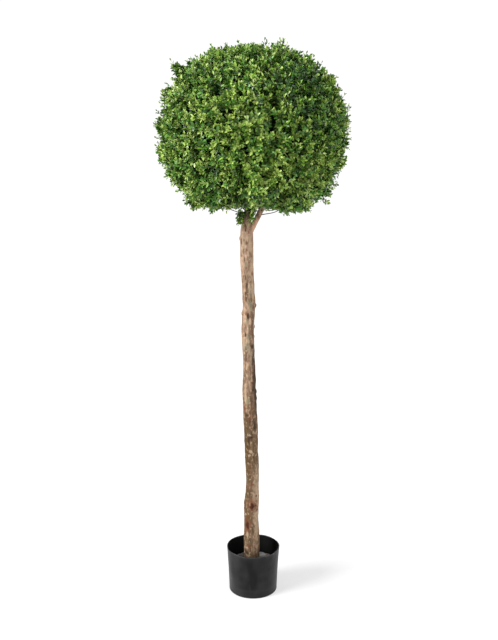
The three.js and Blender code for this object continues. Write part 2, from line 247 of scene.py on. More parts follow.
# Kinds of sprig: the seed, and the least, usual and greatest share of the reach where their tips end
OUTER_SEED = 41
OUTER_SHARES = (0.93, 1.0, 1.03)
INNER_SEED = 42
INNER_SHARES = (0.40, 0.76, 0.88)
FREE_SEED = 43
FREE_SHARES = (1.01, 1.045, 1.08)

# How much thinner limbs are at the tip, in shares of their radius, and radii at both ends of other stems
BRANCH_TAPER = 0.45
TWIG_TAPER = 0.5
SPRIG_TAPER = 0.55
STEM_RADII = (0.0052, 0.0035)
HANGING_RADII = (0.0013, 0.0007)

# Shoots that hang along the sprigs beside the fork: how many there are and how far they stand to the side,
# places along the sprig, and how far they are scattered, spread and dropped
HANGING = {"sprig_left": (9, 0.0), "sprig_fork": (16, -0.005)}
HANGING_SEED = 17
HANGING_PLACES = (0.3, 0.65, 1.0)
HANGING_SCATTER = 0.004
HANGING_SPREAD = 0.005
HANGING_DROP = 0.026

# Painted light and shade on the leaves in front, where the ball is lit or turned away from the light: place
# across and up in the front view in shares of the radius, the patch's width, and how many tones darker.
# More patches of random tone are dealt out over the back, from the ranges below: turns are in half circles,
# and amounts in tones.
PAINTED_LIGHT_AND_SHADE = (
    (0.46, 0.54, 0.34, 1.8),
    (0.38, 0.10, 0.24, 0.3),
    (-0.10, 0.36, 0.26, -0.5),
    (-0.46, 0.26, 0.24, -0.5),
    (-0.50, 0.62, 0.20, 0.6),
    (0.0, -0.15, 0.50, -0.85),
    (0.70, -0.45, 0.40, -1.0),
    (-0.72, -0.40, 0.30, -0.4),
    (-0.60, 0.00, 0.50, -0.5),
    (0.80, 0.10, 0.45, 0.4),
)
BACK_PATCHES = {
    "seed": 29,
    "count": 16,
    "turns": (0.1, 0.9),
    "ups": (-0.8, 0.8),
    "widths": (0.2, 0.4),
    "amounts": (-0.9, 0.9),
}

# Dark hollows in the finer growth: place across and up in the front view in shares of the radius, width,
# and how far the shoots there lie back in shares of the reach. More are dealt out over the back in the same
# way. The shade is painted: HOLLOW_SHADE is how many tones darker leaves are for each share of the reach.
HOLLOWS = (
    (-0.37, 0.42, 0.10, 0.20),
    (0.00, 0.16, 0.07, 0.20),
    (-0.09, 0.06, 0.05, 0.16),
    (0.11, 0.37, 0.06, 0.14),
    (-0.25, 0.07, 0.05, 0.12),
    (0.61, 0.20, 0.05, 0.12),
    (0.57, 0.53, 0.10, 0.10),
    (0.62, -0.10, 0.05, 0.10),
    (-0.47, -0.42, 0.08, 0.16),
    (-0.12, -0.52, 0.07, 0.14),
    (0.88, -0.46, 0.25, 0.03),
    (0.98, -0.15, 0.15, 0.03),
    (0.20, 0.97, 0.10, 0.04),
)
BACK_HOLLOWS = {
    "seed": 31,
    "count": 14,
    "turns": (0.05, 0.95),
    "ups": (-0.6, 0.7),
    "widths": (0.05, 0.10),
    "amounts": (0.12, 0.2),
}
HOLLOW_SHADE = 10

GOLDEN_ANGLE = math.pi * (3 - math.sqrt(5))


# Growth rule, shared with the solids

def seeded_random(seed):
    """Random numbers from 0 to 1 that are the same on each run."""
    low_bits = 0xFFFFFFFF
    state = seed

    def draw():
        nonlocal state
        state = (state + 0x6D2B79F5) & low_bits
        mixed = ((state ^ (state >> 15)) * (1 | state)) & low_bits
        stirred = ((mixed ^ (mixed >> 7)) * (61 | mixed)) & low_bits
        mixed ^= (mixed + stirred) & low_bits
        return ((mixed ^ (mixed >> 14)) & low_bits) / 2**32

    return draw


def unit(vectors):
    return vectors / np.linalg.norm(vectors, axis=-1, keepdims=True)


def spread(count, wobble, draw):
    """Directions spread evenly over a sphere by the golden angle, each then moved a little."""
    index = np.arange(count)
    z = 1 - (2 * index + 1) / count
    ring = np.sqrt(1 - z * z)
    turn = GOLDEN_ANGLE * index
    even = np.stack([ring * np.cos(turn), ring * np.sin(turn), z], axis=1)
    moves = np.array([draw() for _ in range(3 * count)]).reshape(count, 3)
    return unit(even + wobble * (moves - 0.5))


def aimed(turn, angle):
    """A direction by its angle above level to the right, in the front view turned round the trunk."""
    turn, angle = math.radians(turn), math.radians(angle)
    return (math.cos(angle) * math.cos(turn), math.cos(angle) * math.sin(turn), math.sin(angle))


def make_swellings():
    """Directions, heights and widths of the lumps and strays of the clipped surface."""
    draw = seeded_random(LUMP_SEED)
    lumps = spread(LUMP_COUNT, LUMP_WOBBLE, draw)
    heights = [LUMP_HEIGHT * (2 * draw() - 1) for _ in range(LUMP_COUNT)]
    directions = np.concatenate([lumps, [aimed(turn, angle) for turn, angle, _, _ in STRAYS]])
    heights = np.array(heights + [height for _, _, height, _ in STRAYS])
    widths = np.array([LUMP_WIDTH] * LUMP_COUNT + [width for _, _, _, width in STRAYS])
    return directions, heights, widths


SWELLINGS = make_swellings()
STRAY_AIMS = np.array([aimed(turn, angle) for turn, angle, height, _ in STRAYS if height > 0])


def reach(directions):
    """Distance from the crown's centre to its clipped outline in each direction."""
    level = np.hypot(directions[:, 0], directions[:, 1])
    height = directions[:, 2]
    distance = 1 / np.hypot(level / CROWN_ACROSS, height / CROWN_UP)
    below = height < -1e-6
    depth = np.where(below, -height, 1)
    aside = directions[:, 0] / depth - CHANNEL_AT
    channel = CHANNEL_DEPTH * np.exp(-((aside / CHANNEL_WIDTH) ** CHANNEL_EDGE))
    floor = FLOOR_DEPTH * (1 - channel) / depth
    rounded = (distance**-FLOOR_CORNER + floor**-FLOOR_CORNER) ** (-1 / FLOOR_CORNER)
    distance = np.where(below, rounded, distance)
    toward, heights, widths = SWELLINGS
    apart = 1 - directions @ toward.T
    return distance + (heights * np.exp(-2 * apart / widths**2)).sum(axis=1)


def smoothstep(values, start, end):
    share = np.clip((values - start) / (end - start), 0, 1)
    return share * share * (3 - 2 * share)


def fading(values, start, end):
    return 1 - smoothstep(values, start, end)


def bell(values, middle, width):
    """1 at the middle and nearly 0 from two widths away."""
    return np.exp(-(((values - middle) / width) ** 2))


def value_at(table, places):
    """Values from a table of (place, value) pairs, eased between neighbours."""
    places = np.asarray(places, float)
    values = np.full(places.shape, float(table[0][1]))
    for (start, start_value), (end, end_value) in zip(table, table[1:]):
        eased = smoothstep(places, start, end)
        values = np.where(places >= start, start_value + (end_value - start_value) * eased, values)
    return values


def trunk_centre(heights):
    """Centre line of the trunk and its leader, by height."""
    heights = np.asarray(heights, float)
    along = np.minimum((heights - GROUND) / (FORK_HEIGHT - GROUND), 1)
    sway = TRUNK_SWAY * np.sin(2 * math.pi * along)
    return np.stack([value_at(TRUNK_PATH, heights), sway, heights], axis=-1)


class Limbs:
    """A level of limbs as quadratic curves with their tips' directions."""

    def __init__(self, directions, roots, bends, tips):
        self.directions = directions
        self.roots = roots
        self.bends = bends
        self.tips = tips

    def points(self, shares):
        """Points at the same shares along each limb, or at one share for each limb."""
        t = np.asarray(shares, float)[..., None]
        if np.ndim(shares) == 1 and len(shares) == len(self.roots):
            roots, bends, tips = self.roots, self.bends, self.tips
        else:
            roots, bends, tips = (ends[:, None] for ends in (self.roots, self.bends, self.tips))
        return (1 - t) ** 2 * roots + 2 * t * (1 - t) * bends + t**2 * tips

    def tangents(self, shares):
        t = np.asarray(shares, float)[..., None]
        return unit(2 * (1 - t) * (self.bends - self.roots) + 2 * t * (self.tips - self.bends))

    def of(self, chosen):
        return Limbs(self.directions[chosen], self.roots[chosen], self.bends[chosen], self.tips[chosen])


def branch_off(directions, roots, leads, lead, tips):
    """Limbs that leave their parents along them and bend out to their own tips."""
    length = np.linalg.norm(tips - roots, axis=1, keepdims=True)
    return Limbs(directions, roots, roots + leads * lead * length, tips)


def crown_points(directions, distances):
    return CROWN_CENTRE + directions * distances[:, None]


def nearest(limbs, directions):
    """For each direction, the limb whose tip points most nearly that way."""
    return np.argmax(directions @ limbs.directions.T, axis=1)


def grow_branches():
    draw = seeded_random(BRANCH_SEED)
    directions = spread(BRANCH_COUNT, BRANCH_WOBBLE, draw)
    roots = np.tile(trunk_centre(TRUNK_TIP), (BRANCH_COUNT, 1))
    roots[:, 2] += STEM_LENGTH * BRANCH_ROOT_AT * (1 + directions[:, 2])
    tips = crown_points(directions, reach(directions) * BRANCH_SHARE)
    return branch_off(directions, roots, UP, BRANCH_LEAD, tips)


def grow_twigs(branches):
    draw = seeded_random(TWIG_SEED)
    directions = spread(TWIG_COUNT, TWIG_WOBBLE, draw)
    low, high = TIP_SHARES
    shares = [low + (high - low) * draw() for _ in range(TWIG_COUNT)]
    directions = np.concatenate([directions, STRAY_AIMS])
    shares = np.array(shares + [1.0] * len(STRAY_AIMS))
    parents = branches.of(nearest(branches, directions))
    tips = crown_points(directions, reach(directions) * shares - SOLID_LEAF_REACH)
    at = np.full(len(directions), TWIG_ROOT_AT)
    return branch_off(directions, parents.points(at), parents.tangents(at), TWIG_LEAD, tips)


def around_strays(draw):
    """Directions round the strays, and shares of the reach there."""
    count = STRAY_SPRIGS * len(STRAY_AIMS)
    directions = np.repeat(STRAY_AIMS, STRAY_SPRIGS, axis=0) + draw.normal(0, STRAY_SCATTER, (count, 3))
    return unit(directions), draw.uniform(*STRAY_SHARES, count)


def around_spikes(draw):
    """Directions close to the spikes, and shares of the reach there."""
    count = SPIKE_SPRIGS * len(SPIKES)
    aims = np.array([aimed(turn, angle) for turn, angle, _ in SPIKES])
    directions = np.repeat(aims, SPIKE_SPRIGS, axis=0) + draw.normal(0, SPIKE_SCATTER, (count, 3))
    shares = np.repeat([share for _, _, share in SPIKES], SPIKE_SPRIGS)
    return unit(directions), shares - draw.uniform(0, SPIKE_BACK, count)


def grow_sprigs(twigs, count, seed, shares, leaf_reach, extra=None, tufted=True):
    """The finest shoots: even over the crown, then extra ones, each rooted along the nearest twig."""
    draw = np.random.default_rng(seed)
    directions = spread(count, SPRIG_WOBBLE, seeded_random(seed))
    drawn = draw.triangular(*shares, count)
    if tufted:
        tufts = spread(TUFT_COUNT, TUFT_WOBBLE, seeded_random(TUFT_SEED))
        depths = np.random.default_rng(TUFT_SEED).triangular(*TUFT_DEPTHS, TUFT_COUNT)
        tuft = np.argmax(directions @ tufts.T, axis=1)
        directions = unit(directions + TUFT_PULL * (tufts[tuft] - directions))
        drawn += depths[tuft] - hollow_depths(directions)
    if extra:
        extra_directions, extra_drawn = extra(draw)
        directions = np.concatenate([directions, extra_directions])
        drawn = np.concatenate([drawn, extra_drawn])
    parents = twigs.of(nearest(twigs, directions))
    at = draw.uniform(*SPRIG_ROOTS, len(directions))
    tips = crown_points(directions, reach(directions) * drawn - leaf_reach)
    leads = unit(parents.tangents(at) + draw.normal(0, SPRIG_SCATTER, (len(directions), 3)))
    sprigs = branch_off(directions, parents.points(at), leads, SPRIG_LEAD, tips)
    length = np.linalg.norm(sprigs.tips - sprigs.roots, axis=1)
    sprigs.bends[:, 2] -= SPRIG_DROOP * length
    return sprigs


def soft_patches(directions, placed, seed, count, turns, ups, widths, amounts):
    """Sum of soft patches in each direction: placed ones in front, and random ones at the back."""
    draw = np.random.default_rng(seed)
    patches = []
    for across, up, width, amount in placed:
        toward = np.array((across, -math.sqrt(1 - across**2 - up**2), up))
        patches.append((toward, width, amount))
    for turn in draw.uniform(*turns, count) * math.pi:
        up = draw.uniform(*ups)
        width = draw.uniform(*widths)
        amount = draw.uniform(*amounts)
        level = math.sqrt(1 - up**2)
        toward = np.array((level * math.cos(turn), level * math.sin(turn), up))
        patches.append((toward, width, amount))
    total = np.zeros(len(directions))
    for toward, width, amount in patches:
        total += amount * np.exp(-2 * (1 - directions @ toward) / width**2)
    return total


def hollow_depths(directions):
    """How far shoots lie back in each direction, in shares of the reach."""
    return soft_patches(directions, HOLLOWS, **BACK_HOLLOWS)


def tone_shifts(directions):
    """How many tones darker the leaves are in each direction: painted light and shade in front, random tone
    at the back, and painted shade in the hollows.
    """
    patches = soft_patches(directions, PAINTED_LIGHT_AND_SHADE, **BACK_PATCHES)
    return patches + HOLLOW_SHADE * hollow_depths(directions)


def cubic_points(controls, shares):
    """Points along a cubic curve given by four control points in millimetres."""
    a, b, c, d = (np.array(point, float) * MM for point in controls)
    t = np.asarray(shares, float)[:, None]
    return (1 - t) ** 3 * a + 3 * t * (1 - t) ** 2 * b + 3 * t**2 * (1 - t) * c + t**3 * d


# Meshes from arrays

def build_piece(name, points, triangles, node_names, material, attributes=None):
    """A smooth mesh piece that rides on the plant's body and stands for the named nodes."""
    mesh = bpy.data.meshes.new(name)
    points = np.asarray(points, np.float32).reshape(-1, 3)
    triangles = np.asarray(triangles, np.int32).reshape(-1, 3)
    mesh.vertices.add(len(points))
    mesh.vertices.foreach_set("co", points.ravel())
    mesh.loops.add(triangles.size)
    mesh.loops.foreach_set("vertex_index", triangles.ravel())
    mesh.polygons.add(len(triangles))
    mesh.polygons.foreach_set("loop_start", np.arange(0, triangles.size, 3, dtype=np.int32))
    mesh.polygons.foreach_set("use_smooth", np.ones(len(triangles), bool))
    for attribute_name, values in (attributes or {}).items():
        attribute = mesh.attributes.new(attribute_name, "FLOAT", "POINT")
        attribute.data.foreach_set("value", np.asarray(values, np.float32).ravel())
    mesh.update(calc_edges=True)
    if mesh.validate():
        raise RuntimeError(f"the mesh of {name} had faulty faces")
    mesh.materials.append(material)
    piece = bpy.data.objects.new(name, mesh)
    bpy.context.scene.collection.objects.link(piece)
    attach(piece, BODY)
    if node_names:
        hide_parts(*node_names)
    return piece


def quad_triangles(a, b, c, d):
    """Two triangles for each quad of four index arrays."""
    return np.concatenate([np.stack([a, b, c], -1).reshape(-1, 3), np.stack([a, c, d], -1).reshape(-1, 3)])


def turns_round(sides):
    """Angles of points evenly round a circle."""
    return 2 * math.pi * np.arange(sides) / sides


def ring_triangles(rows, sides):
    """Triangles between rows of points that close round."""
    row = np.arange(rows - 1)[:, None] * sides
    side = np.arange(sides)[None]
    following = (side + 1) % sides
    return quad_triangles(row + side, row + following, row + sides + following, row + sides + side)


def fan_triangles(ring, centre, outward=True):
    """Triangles from a ring of points to one centre point."""
    following = np.roll(ring, -1)
    centres = np.full(len(ring), centre)
    if outward:
        return np.stack([ring, following, centres], -1)
    return np.stack([following, ring, centres], -1)


def tube_triangles(rows, sides):
    """Triangles of a closed tube: rows of points, then the middle of its start and of its end."""
    ring = np.arange(sides)
    return np.concatenate([
        ring_triangles(rows, sides),
        fan_triangles(ring, rows * sides, outward=False),
        fan_triangles(ring + (rows - 1) * sides, rows * sides + 1),
    ])


def tubes(paths, radii, sides):
    """Closed round tubes along many paths at once, all with the same radii: points and triangles."""
    count, rows, _ = paths.shape
    along = unit(np.gradient(paths, axis=1))
    average = np.abs(unit(paths[:, -1] - paths[:, 0]))
    helper = np.eye(3)[np.argmin(average, axis=1)][:, None]
    across = unit(np.cross(along, helper))
    away = np.cross(along, across)
    turn = turns_round(sides)
    ring = across[:, :, None] * np.cos(turn)[:, None] + away[:, :, None] * np.sin(turn)[:, None]
    points = paths[:, :, None] + ring * radii[:, None, None]
    ends = np.stack([paths[:, 0], paths[:, -1]], axis=1)
    points = np.concatenate([points.reshape(count, rows * sides, 3), ends], axis=1)
    first = np.arange(count) * (rows * sides + 2)
    triangles = tube_triangles(rows, sides)[None] + first[:, None, None]
    return points.reshape(-1, 3), triangles.reshape(-1, 3)


def joined(parts):
    """Points and triangles of several meshes as one."""
    points, triangles, first = [], [], 0
    for part_points, part_triangles in parts:
        points.append(part_points)
        triangles.append(part_triangles + first)
        first += len(part_points)
    return np.concatenate(points), np.concatenate(triangles)


# Leaves

# Outline of a boxwood leaf: share of its length and half its width in shares of the width
LEAF_ROWS = ((0.30, 0.46), (0.73, 0.43))

# How leaves vary: their places, sizes, widths, fold and curl in shares, and their turns in radians
PLACE_RANGE = (0.85, 1.15)
SIZE_RANGE = (0.82, 1.14)
WIDTH_RANGE = (0.82, 1.06)
FOLD_RANGE = (0.15, 0.6)
CURL_RANGE = (-0.05, 0.28)
TWIST_SPREAD = 0.15
OPEN_SPREAD = 0.18
ROLL_SPREAD = 0.5

# A shoot's curve in shares of the straight line, and how far up it the lowest pair of leaves may sit
CURVE_LENGTH = 1.05
LOWEST_PAIR = 0.05


def leaf_template():
    """One leaf of eight faces along +X with its upper side to +Z, and how near each point is to the rib."""
    points = [(0.0, 0.0)]
    for along, half in LEAF_ROWS:
        points += [(along, -half), (along, 0.0), (along, half)]
    points.append((1.0, 0.0))
    triangles = [(0, 1, 2), (0, 2, 3), (1, 4, 5), (1, 5, 2), (2, 5, 6), (2, 6, 3), (4, 7, 5), (5, 7, 6)]
    rib = [1.0 if across == 0 else 0.0 for _, across in points]
    return np.array(points), np.array(triangles), np.array(rib)


def place_leaves(roots, directions, acrosses, lengths, widths, folds, curls):
    """Points and triangles of many leaves at once."""
    outline, triangles, rib = leaf_template()
    along = outline[:, 0][None, :, None]
    side = outline[:, 1][None, :, None]
    faces = np.cross(directions, acrosses)
    rise = folds[:, None, None] * np.abs(side) * widths[:, None, None]
    rise = rise - curls[:, None, None] * along**2 * lengths[:, None, None]
    points = (
        roots[:, None]
        + directions[:, None] * along * lengths[:, None, None]
        + acrosses[:, None] * side * widths[:, None, None]
        + faces[:, None] * rise
    )
    first = (np.arange(len(roots)) * len(outline))[:, None, None]
    return points.reshape(-1, 3), (triangles[None] + first).reshape(-1, 3), np.tile(rib, len(roots))


def turned(vectors, axes, angles):
    """Vectors turned round axes by angles."""
    cosine = np.cos(angles)[..., None]
    sine = np.sin(angles)[..., None]
    along = (vectors * axes).sum(axis=-1, keepdims=True)
    return vectors * cosine + np.cross(axes, vectors) * sine + axes * along * (1 - cosine)


class Foliage:
    """Leaves gathered by tone, each tone later one piece."""

    def __init__(self, tone_count):
        self.rows = [[] for _ in range(tone_count)]

    def add(self, tones, *columns):
        for tone, rows in enumerate(self.rows):
            chosen = tones == tone
            rows.append([column[chosen] for column in columns])

    def mesh(self, tone):
        columns = [np.concatenate(column) for column in zip(*self.rows[tone])]
        return place_leaves(*columns)


class Habit:
    """How leaves sit on a kind of shoot: pairs, shares of the tones, size, how far apart and how open."""

    def __init__(self, pairs, tone_shares, scale=1.0, stretch=1.0, opening=1.0, slimness=1.0):
        self.pairs = pairs
        self.tone_shares = np.array(tone_shares) / sum(tone_shares)
        self.scale = scale
        self.stretch = stretch
        self.opening = opening
        self.slimness = slimness


def pair_place(pair):
    """How far down a shoot a pair of leaves sits, in spacings. Pair 0 is the one at the tip."""
    return 0.15 + 0.55 * pair + 0.12 * pair**2


def pair_opening(pair):
    """Angle between the shoot and a leaf of a pair: the pair at the tip is nearly closed."""
    return 0.42 if pair == 0 else min(0.68 + 0.12 * pair, 1.15)


def pair_growth(pair):
    """Size of a pair's leaves in shares of a full-grown one: the pair at the tip is the smallest."""
    return 0.72 if pair == 0 else min(0.88 + 0.06 * pair, 1.06)


def leaf_pairs(limbs, habit, sizes, draw):
    """Opposite pairs of leaves down each shoot from its tip, each pair a quarter turned from the last.

    Gives a list of column lists, one for each leaf of each pair: roots, directions, acrosses, lengths,
    widths, folds, curls and the pair's number.
    """
    count = len(limbs.roots)
    spacing = habit.stretch * sizes.pair_spacing
    length = np.linalg.norm(limbs.tips - limbs.roots, axis=1) * CURVE_LENGTH
    turn = draw.uniform(0, math.pi, count)
    columns = []
    for pair in range(habit.pairs):
        down = spacing * pair_place(pair) * draw.uniform(*PLACE_RANGE, count)
        at = np.clip(1 - down / length, LOWEST_PAIR, 1)
        tangent = limbs.tangents(at)
        level = unit(np.cross(tangent, UP) + 1e-9)
        side = turned(level, tangent, turn + pair * math.pi / 2 + draw.normal(0, TWIST_SPREAD, count))
        for hand in (1, -1):
            angle = habit.opening * pair_opening(pair) + draw.normal(0, OPEN_SPREAD, count)
            direction = tangent * np.cos(angle)[:, None] + side * (hand * np.sin(angle))[:, None]
            across = np.cross(tangent, side) * hand
            across = turned(across, direction, draw.normal(0, ROLL_SPREAD, count))
            size = habit.scale * pair_growth(pair) * draw.uniform(*SIZE_RANGE, count)
            width = sizes.leaf_width / habit.slimness * size * draw.uniform(*WIDTH_RANGE, count)
            columns.append([
                limbs.points(at),
                direction,
                across,
                sizes.leaf_length * size,
                width,
                draw.uniform(*FOLD_RANGE, count),
                draw.uniform(*CURL_RANGE, count),
                np.full(count, pair),
            ])
    return columns


# Materials

class Value:
    """A number that varies over a surface. Arithmetic on it adds Math nodes."""

    def __init__(self, nodes, socket):
        self.nodes = nodes
        self.socket = socket

    def _math(self, operation, first, second):
        settings = {"operation": operation}
        node = self.nodes.node("ShaderNodeMath", settings, {0: first, 1: second})
        return Value(self.nodes, node.outputs[0])

    def __add__(self, other):
        return self._math("ADD", self, other)

    def __radd__(self, other):
        return self._math("ADD", other, self)

    def __sub__(self, other):
        return self._math("SUBTRACT", self, other)

    def __rsub__(self, other):
        return self._math("SUBTRACT", other, self)

    def __mul__(self, other):
        return self._math("MULTIPLY", self, other)

    def __rmul__(self, other):
        return self._math("MULTIPLY", other, self)


# Sockets of a Mix node for colours, by number because several have the same name
MIX_SHARE = 0
MIX_FIRST = 6
MIX_SECOND = 7
MIX_RESULT = 2


class Nodes:
    """The nodes of a material or a world being put together."""

    def __init__(self, tree):
        self.tree = tree
        tree.nodes.clear()

    def node(self, kind, settings=None, sockets=None):
        """One node: its settings are set first, then the values or links of its sockets."""
        node = self.tree.nodes.new(kind)
        for name, setting in (settings or {}).items():
            setattr(node, name, setting)
        for key, value in (sockets or {}).items():
            source = value.socket if isinstance(value, Value) else value
            if isinstance(source, bpy.types.NodeSocket):
                self.tree.links.new(source, node.inputs[key])
            else:
                node.inputs[key].default_value = source
        return node

    def step(self, value, start, end, low=0.0, high=1.0):
        """Low where the value is below start, high above end and smooth between."""
        settings = {"interpolation_type": "SMOOTHSTEP"}
        sockets = {"Value": value, "From Min": start, "From Max": end, "To Min": low, "To Max": high}
        return Value(self, self.node("ShaderNodeMapRange", settings, sockets).outputs["Result"])


class Finish(Nodes):
    """A node material being put together."""

    def __init__(self, name):
        self.material = bpy.data.materials.new(name)
        self.material.use_nodes = True
        super().__init__(self.material.node_tree)
        self.coordinates = self.node("ShaderNodeTexCoord").outputs["Object"]

    def placed(self, stretch=(1, 1, 1), shift=(0, 0, 0)):
        """The surface's own coordinates, stretched and shifted."""
        sockets = {"Vector": self.coordinates, "Scale": stretch, "Location": shift}
        return self.node("ShaderNodeMapping", None, sockets).outputs["Vector"]

    def noise(self, scale, detail=3.0, roughness=0.55, stretch=(1, 1, 1), shift=(0, 0, 0), distortion=0.0):
        sockets = {
            "Vector": self.placed(stretch, shift),
            "Scale": scale,
            "Detail": detail,
            "Roughness": roughness,
            "Distortion": distortion,
        }
        return Value(self, self.node("ShaderNodeTexNoise", None, sockets).outputs["Fac"])

    def attribute(self, name):
        return Value(self, self.node("ShaderNodeAttribute", {"attribute_name": name}).outputs["Fac"])

    def spots(self, edges, *texture, **placing):
        """Soft spots of noise: 0 where it is below the first edge and 1 above the second."""
        return self.step(self.noise(*texture, **placing), *edges)

    def mix(self, share, first, second):
        """A colour between two colours."""
        settings = {"data_type": "RGBA", "clamp_factor": True}
        sockets = {MIX_SHARE: share, MIX_FIRST: colour(first), MIX_SECOND: colour(second)}
        return self.node("ShaderNodeMix", settings, sockets).outputs[MIX_RESULT]

    def bump(self, height, strength, distance, normal=None):
        sockets = {"Height": height, "Strength": strength, "Distance": distance}
        if normal is not None:
            sockets["Normal"] = normal
        return self.node("ShaderNodeBump", None, sockets).outputs["Normal"]

    def surface(self, **sockets):
        named = {name.replace("_", " "): value for name, value in sockets.items()}
        shader = self.node("ShaderNodeBsdfPrincipled", None, named)
        self.node("ShaderNodeOutputMaterial", None, {"Surface": shader.outputs["BSDF"]})
        return self.material


def colour(value):
    """A colour with its alpha, where a plain one is given."""
    if isinstance(value, (bpy.types.NodeSocket, Value)):
        return value
    return tuple(value)[:3] + (1.0,)


def leaf_finish(name, tone, light_tone, dark_tone, roughness):
    """Leaf skin: its tone drifts from leaf to leaf, and it is paler along the rib."""
    finish = Finish(name)
    drift = finish.spots((0.36, 0.66), 48, 2.0, 0.6)
    patches = finish.spots((0.38, 0.64), 9, 2.0, 0.5, shift=(3, 1, 7))
    flecks = finish.spots((0.5, 0.75), 420, 2.0, 0.5, shift=(2, 5, 1))
    base = finish.mix(drift, dark_tone, tone)
    base = finish.mix(patches * 0.35, base, light_tone)
    base = finish.mix(finish.attribute("rib") * 0.3 + flecks * 0.12, base, light_tone)
    gloss = roughness + 0.12 * finish.noise(160, 2.0, 0.5, shift=(8, 2, 4))
    normal = finish.bump(finish.noise(260, 2.0, 0.5), 0.25, 0.0006)
    return finish.surface(Base_Color=base, Roughness=gloss, Normal=normal, Specular_IOR_Level=0.34)


def shoot_finish(name, tone, light_tone):
    """Thin young stems: smooth skin with paler streaks along them."""
    finish = Finish(name)
    streaks = finish.spots((0.4, 0.68), 220, 3.0, 0.6, shift=(1, 4, 2))
    base = finish.mix(streaks * 0.6, tone, light_tone)
    normal = finish.bump(finish.noise(500, 3.0, 0.6), 0.4, 0.0005)
    return finish.surface(Base_Color=base, Roughness=0.7, Normal=normal)


def bark_finish(name, colours, rosy_and_light=0.0):
    """Bark: vertical streaks, pale and grey-green patches, warm spots, cracks and scars, with painted shade
    and painted light from some marks, and on the bough rosy bark that is partly painted light.
    """
    finish = Finish(name)
    streaks = finish.noise(120, 4.0, 0.62, stretch=(1, 1, 0.13), distortion=0.5)
    fibres = finish.noise(420, 3.0, 0.6, stretch=(1, 1, 0.07), shift=(5, 2, 1))
    light = finish.spots((0.44, 0.62), 85, 3.0, 0.55, stretch=(1, 1, 0.26), shift=(9, 3, 2))
    shade = finish.spots((0.5, 0.66), 70, 4.0, 0.6, stretch=(1, 1, 0.3), shift=(1, 9, 4))
    grey = finish.spots((0.53, 0.63), 55, 4.0, 0.6, stretch=(1, 1, 0.3), shift=(2, 8, 5))
    warm = finish.spots((0.58, 0.67), 95, 4.0, 0.6, stretch=(1, 1, 0.45), shift=(7, 7, 3))
    specks = finish.spots((0.58, 0.7), 520, 2.0, 0.5, shift=(4, 4, 9))
    mottle = finish.spots((0.5, 0.6), 150, 4.0, 0.68, stretch=(1, 1, 0.6), shift=(6, 2, 8))
    flecks = finish.spots((0.52, 0.66), 150, 3.0, 0.6, stretch=(1, 1, 0.6), shift=(3, 5, 6))
    lines = finish.spots((0.54, 0.62), 190, 3.0, 0.6, stretch=(1, 1, 0.25), shift=(8, 1, 3))
    mark = {kind: finish.attribute(kind) for kind in (*MASKS, "high", "low")}
    rough = 1 - 0.5 * mark["high"]
    layers = (
        (light * 0.85, colours.bark_light),
        (shade * 0.6, colours.bark_shade),
        (grey * 0.6, colours.bark_grey),
        (mark["high"] * 0.45, colours.bark_high),
        # Rosy bark on the bough, partly painted light
        (rosy_and_light, colours.bark_rosy_and_lit),
        (mark["low"] * 0.7, colours.bark_low),
        # Painted shade from the shade marks
        (mark["shade"] * 0.85, colours.bark_low),
        (lines * rough * 0.65, colours.bark_shade),
        (mottle * rough * 0.5, colours.bark_shade),
        (flecks * 0.55, colours.bark_pale),
        (warm * 0.6, colours.bark_warm),
        (specks * 0.5, colours.bark_shade),
        (mark["pale"] * 0.5, colours.bark_pale),
        (mark["moss"] * 0.75, colours.bark_grey),
        (mark["stain"] * 0.8, colours.bark_warm),
        (mark["crack"] * 0.92, colours.bark_crack),
        (mark["scar"] * 0.9, colours.bark_scar),
    )
    base = finish.mix(finish.step(streaks, 0.38, 0.6), colours.bark_shade, colours.bark_mid)
    for share, tone in layers:
        base = finish.mix(share, base, tone)
    normal = finish.bump(fibres * 0.6 + streaks * 0.6, 0.6, 0.0018)
    normal = finish.bump(finish.noise(900, 3.0, 0.6), 0.35, 0.0005, normal)
    return finish.surface(
        Base_Color=base, Roughness=0.8 + 0.12 * streaks, Normal=normal, Specular_IOR_Level=0.08
    )


def pot_finish(name, colours):
    """Soft dark plastic: worn patches with a dark patch of painted shade, scuffs, a rim rubbed pale and
    painted with a highlight, and soft waves in the wall.
    """
    finish = Finish(name)
    scuffs = finish.spots((0.5, 0.68), 60, 5.0, 0.62, stretch=(1, 1, 0.35), distortion=0.5)
    clouds = finish.noise(14, 3.0, 0.5, shift=(3, 3, 3))
    grain = finish.noise(900, 2.0, 0.5)
    rubbed = finish.attribute("rubbed")
    # Worn patches, with painted shade in a dark patch low in front
    base = finish.mix(finish.attribute("worn"), colours.pot_dark, colours.pot_mid)
    base = finish.mix(scuffs * 0.3, base, colours.pot_scuffed)
    # Painted highlight along the rim lip, partly rubbed plastic
    base = finish.mix(rubbed * (0.35 + 0.65 * scuffs), base, colours.pot_rubbed_highlight)
    gloss = 0.3 + 0.12 * clouds + 0.08 * scuffs
    normal = finish.bump(finish.noise(17, 2.0, 0.5, shift=(1, 6, 2)), 0.5, 0.006)
    normal = finish.bump(grain, 0.25, 0.0004, normal)
    return finish.surface(Base_Color=base, Roughness=gloss, Normal=normal, Specular_IOR_Level=0.15)


def shaded_pot_inside_finish(name, colours):
    """The inside of the pot, a darker, duller copy of the plastic as painted shade, with faint dust."""
    finish = Finish(name)
    dust = finish.spots((0.5, 0.75), 45, 4.0, 0.6, shift=(2, 7, 3))
    base = finish.mix(dust * 0.5, colours.pot_inside, colours.pot_dark)
    normal = finish.bump(finish.noise(30, 3.0, 0.5, shift=(4, 1, 5)), 0.3, 0.002)
    return finish.surface(Base_Color=base, Roughness=0.7, Normal=normal, Specular_IOR_Level=0.05)


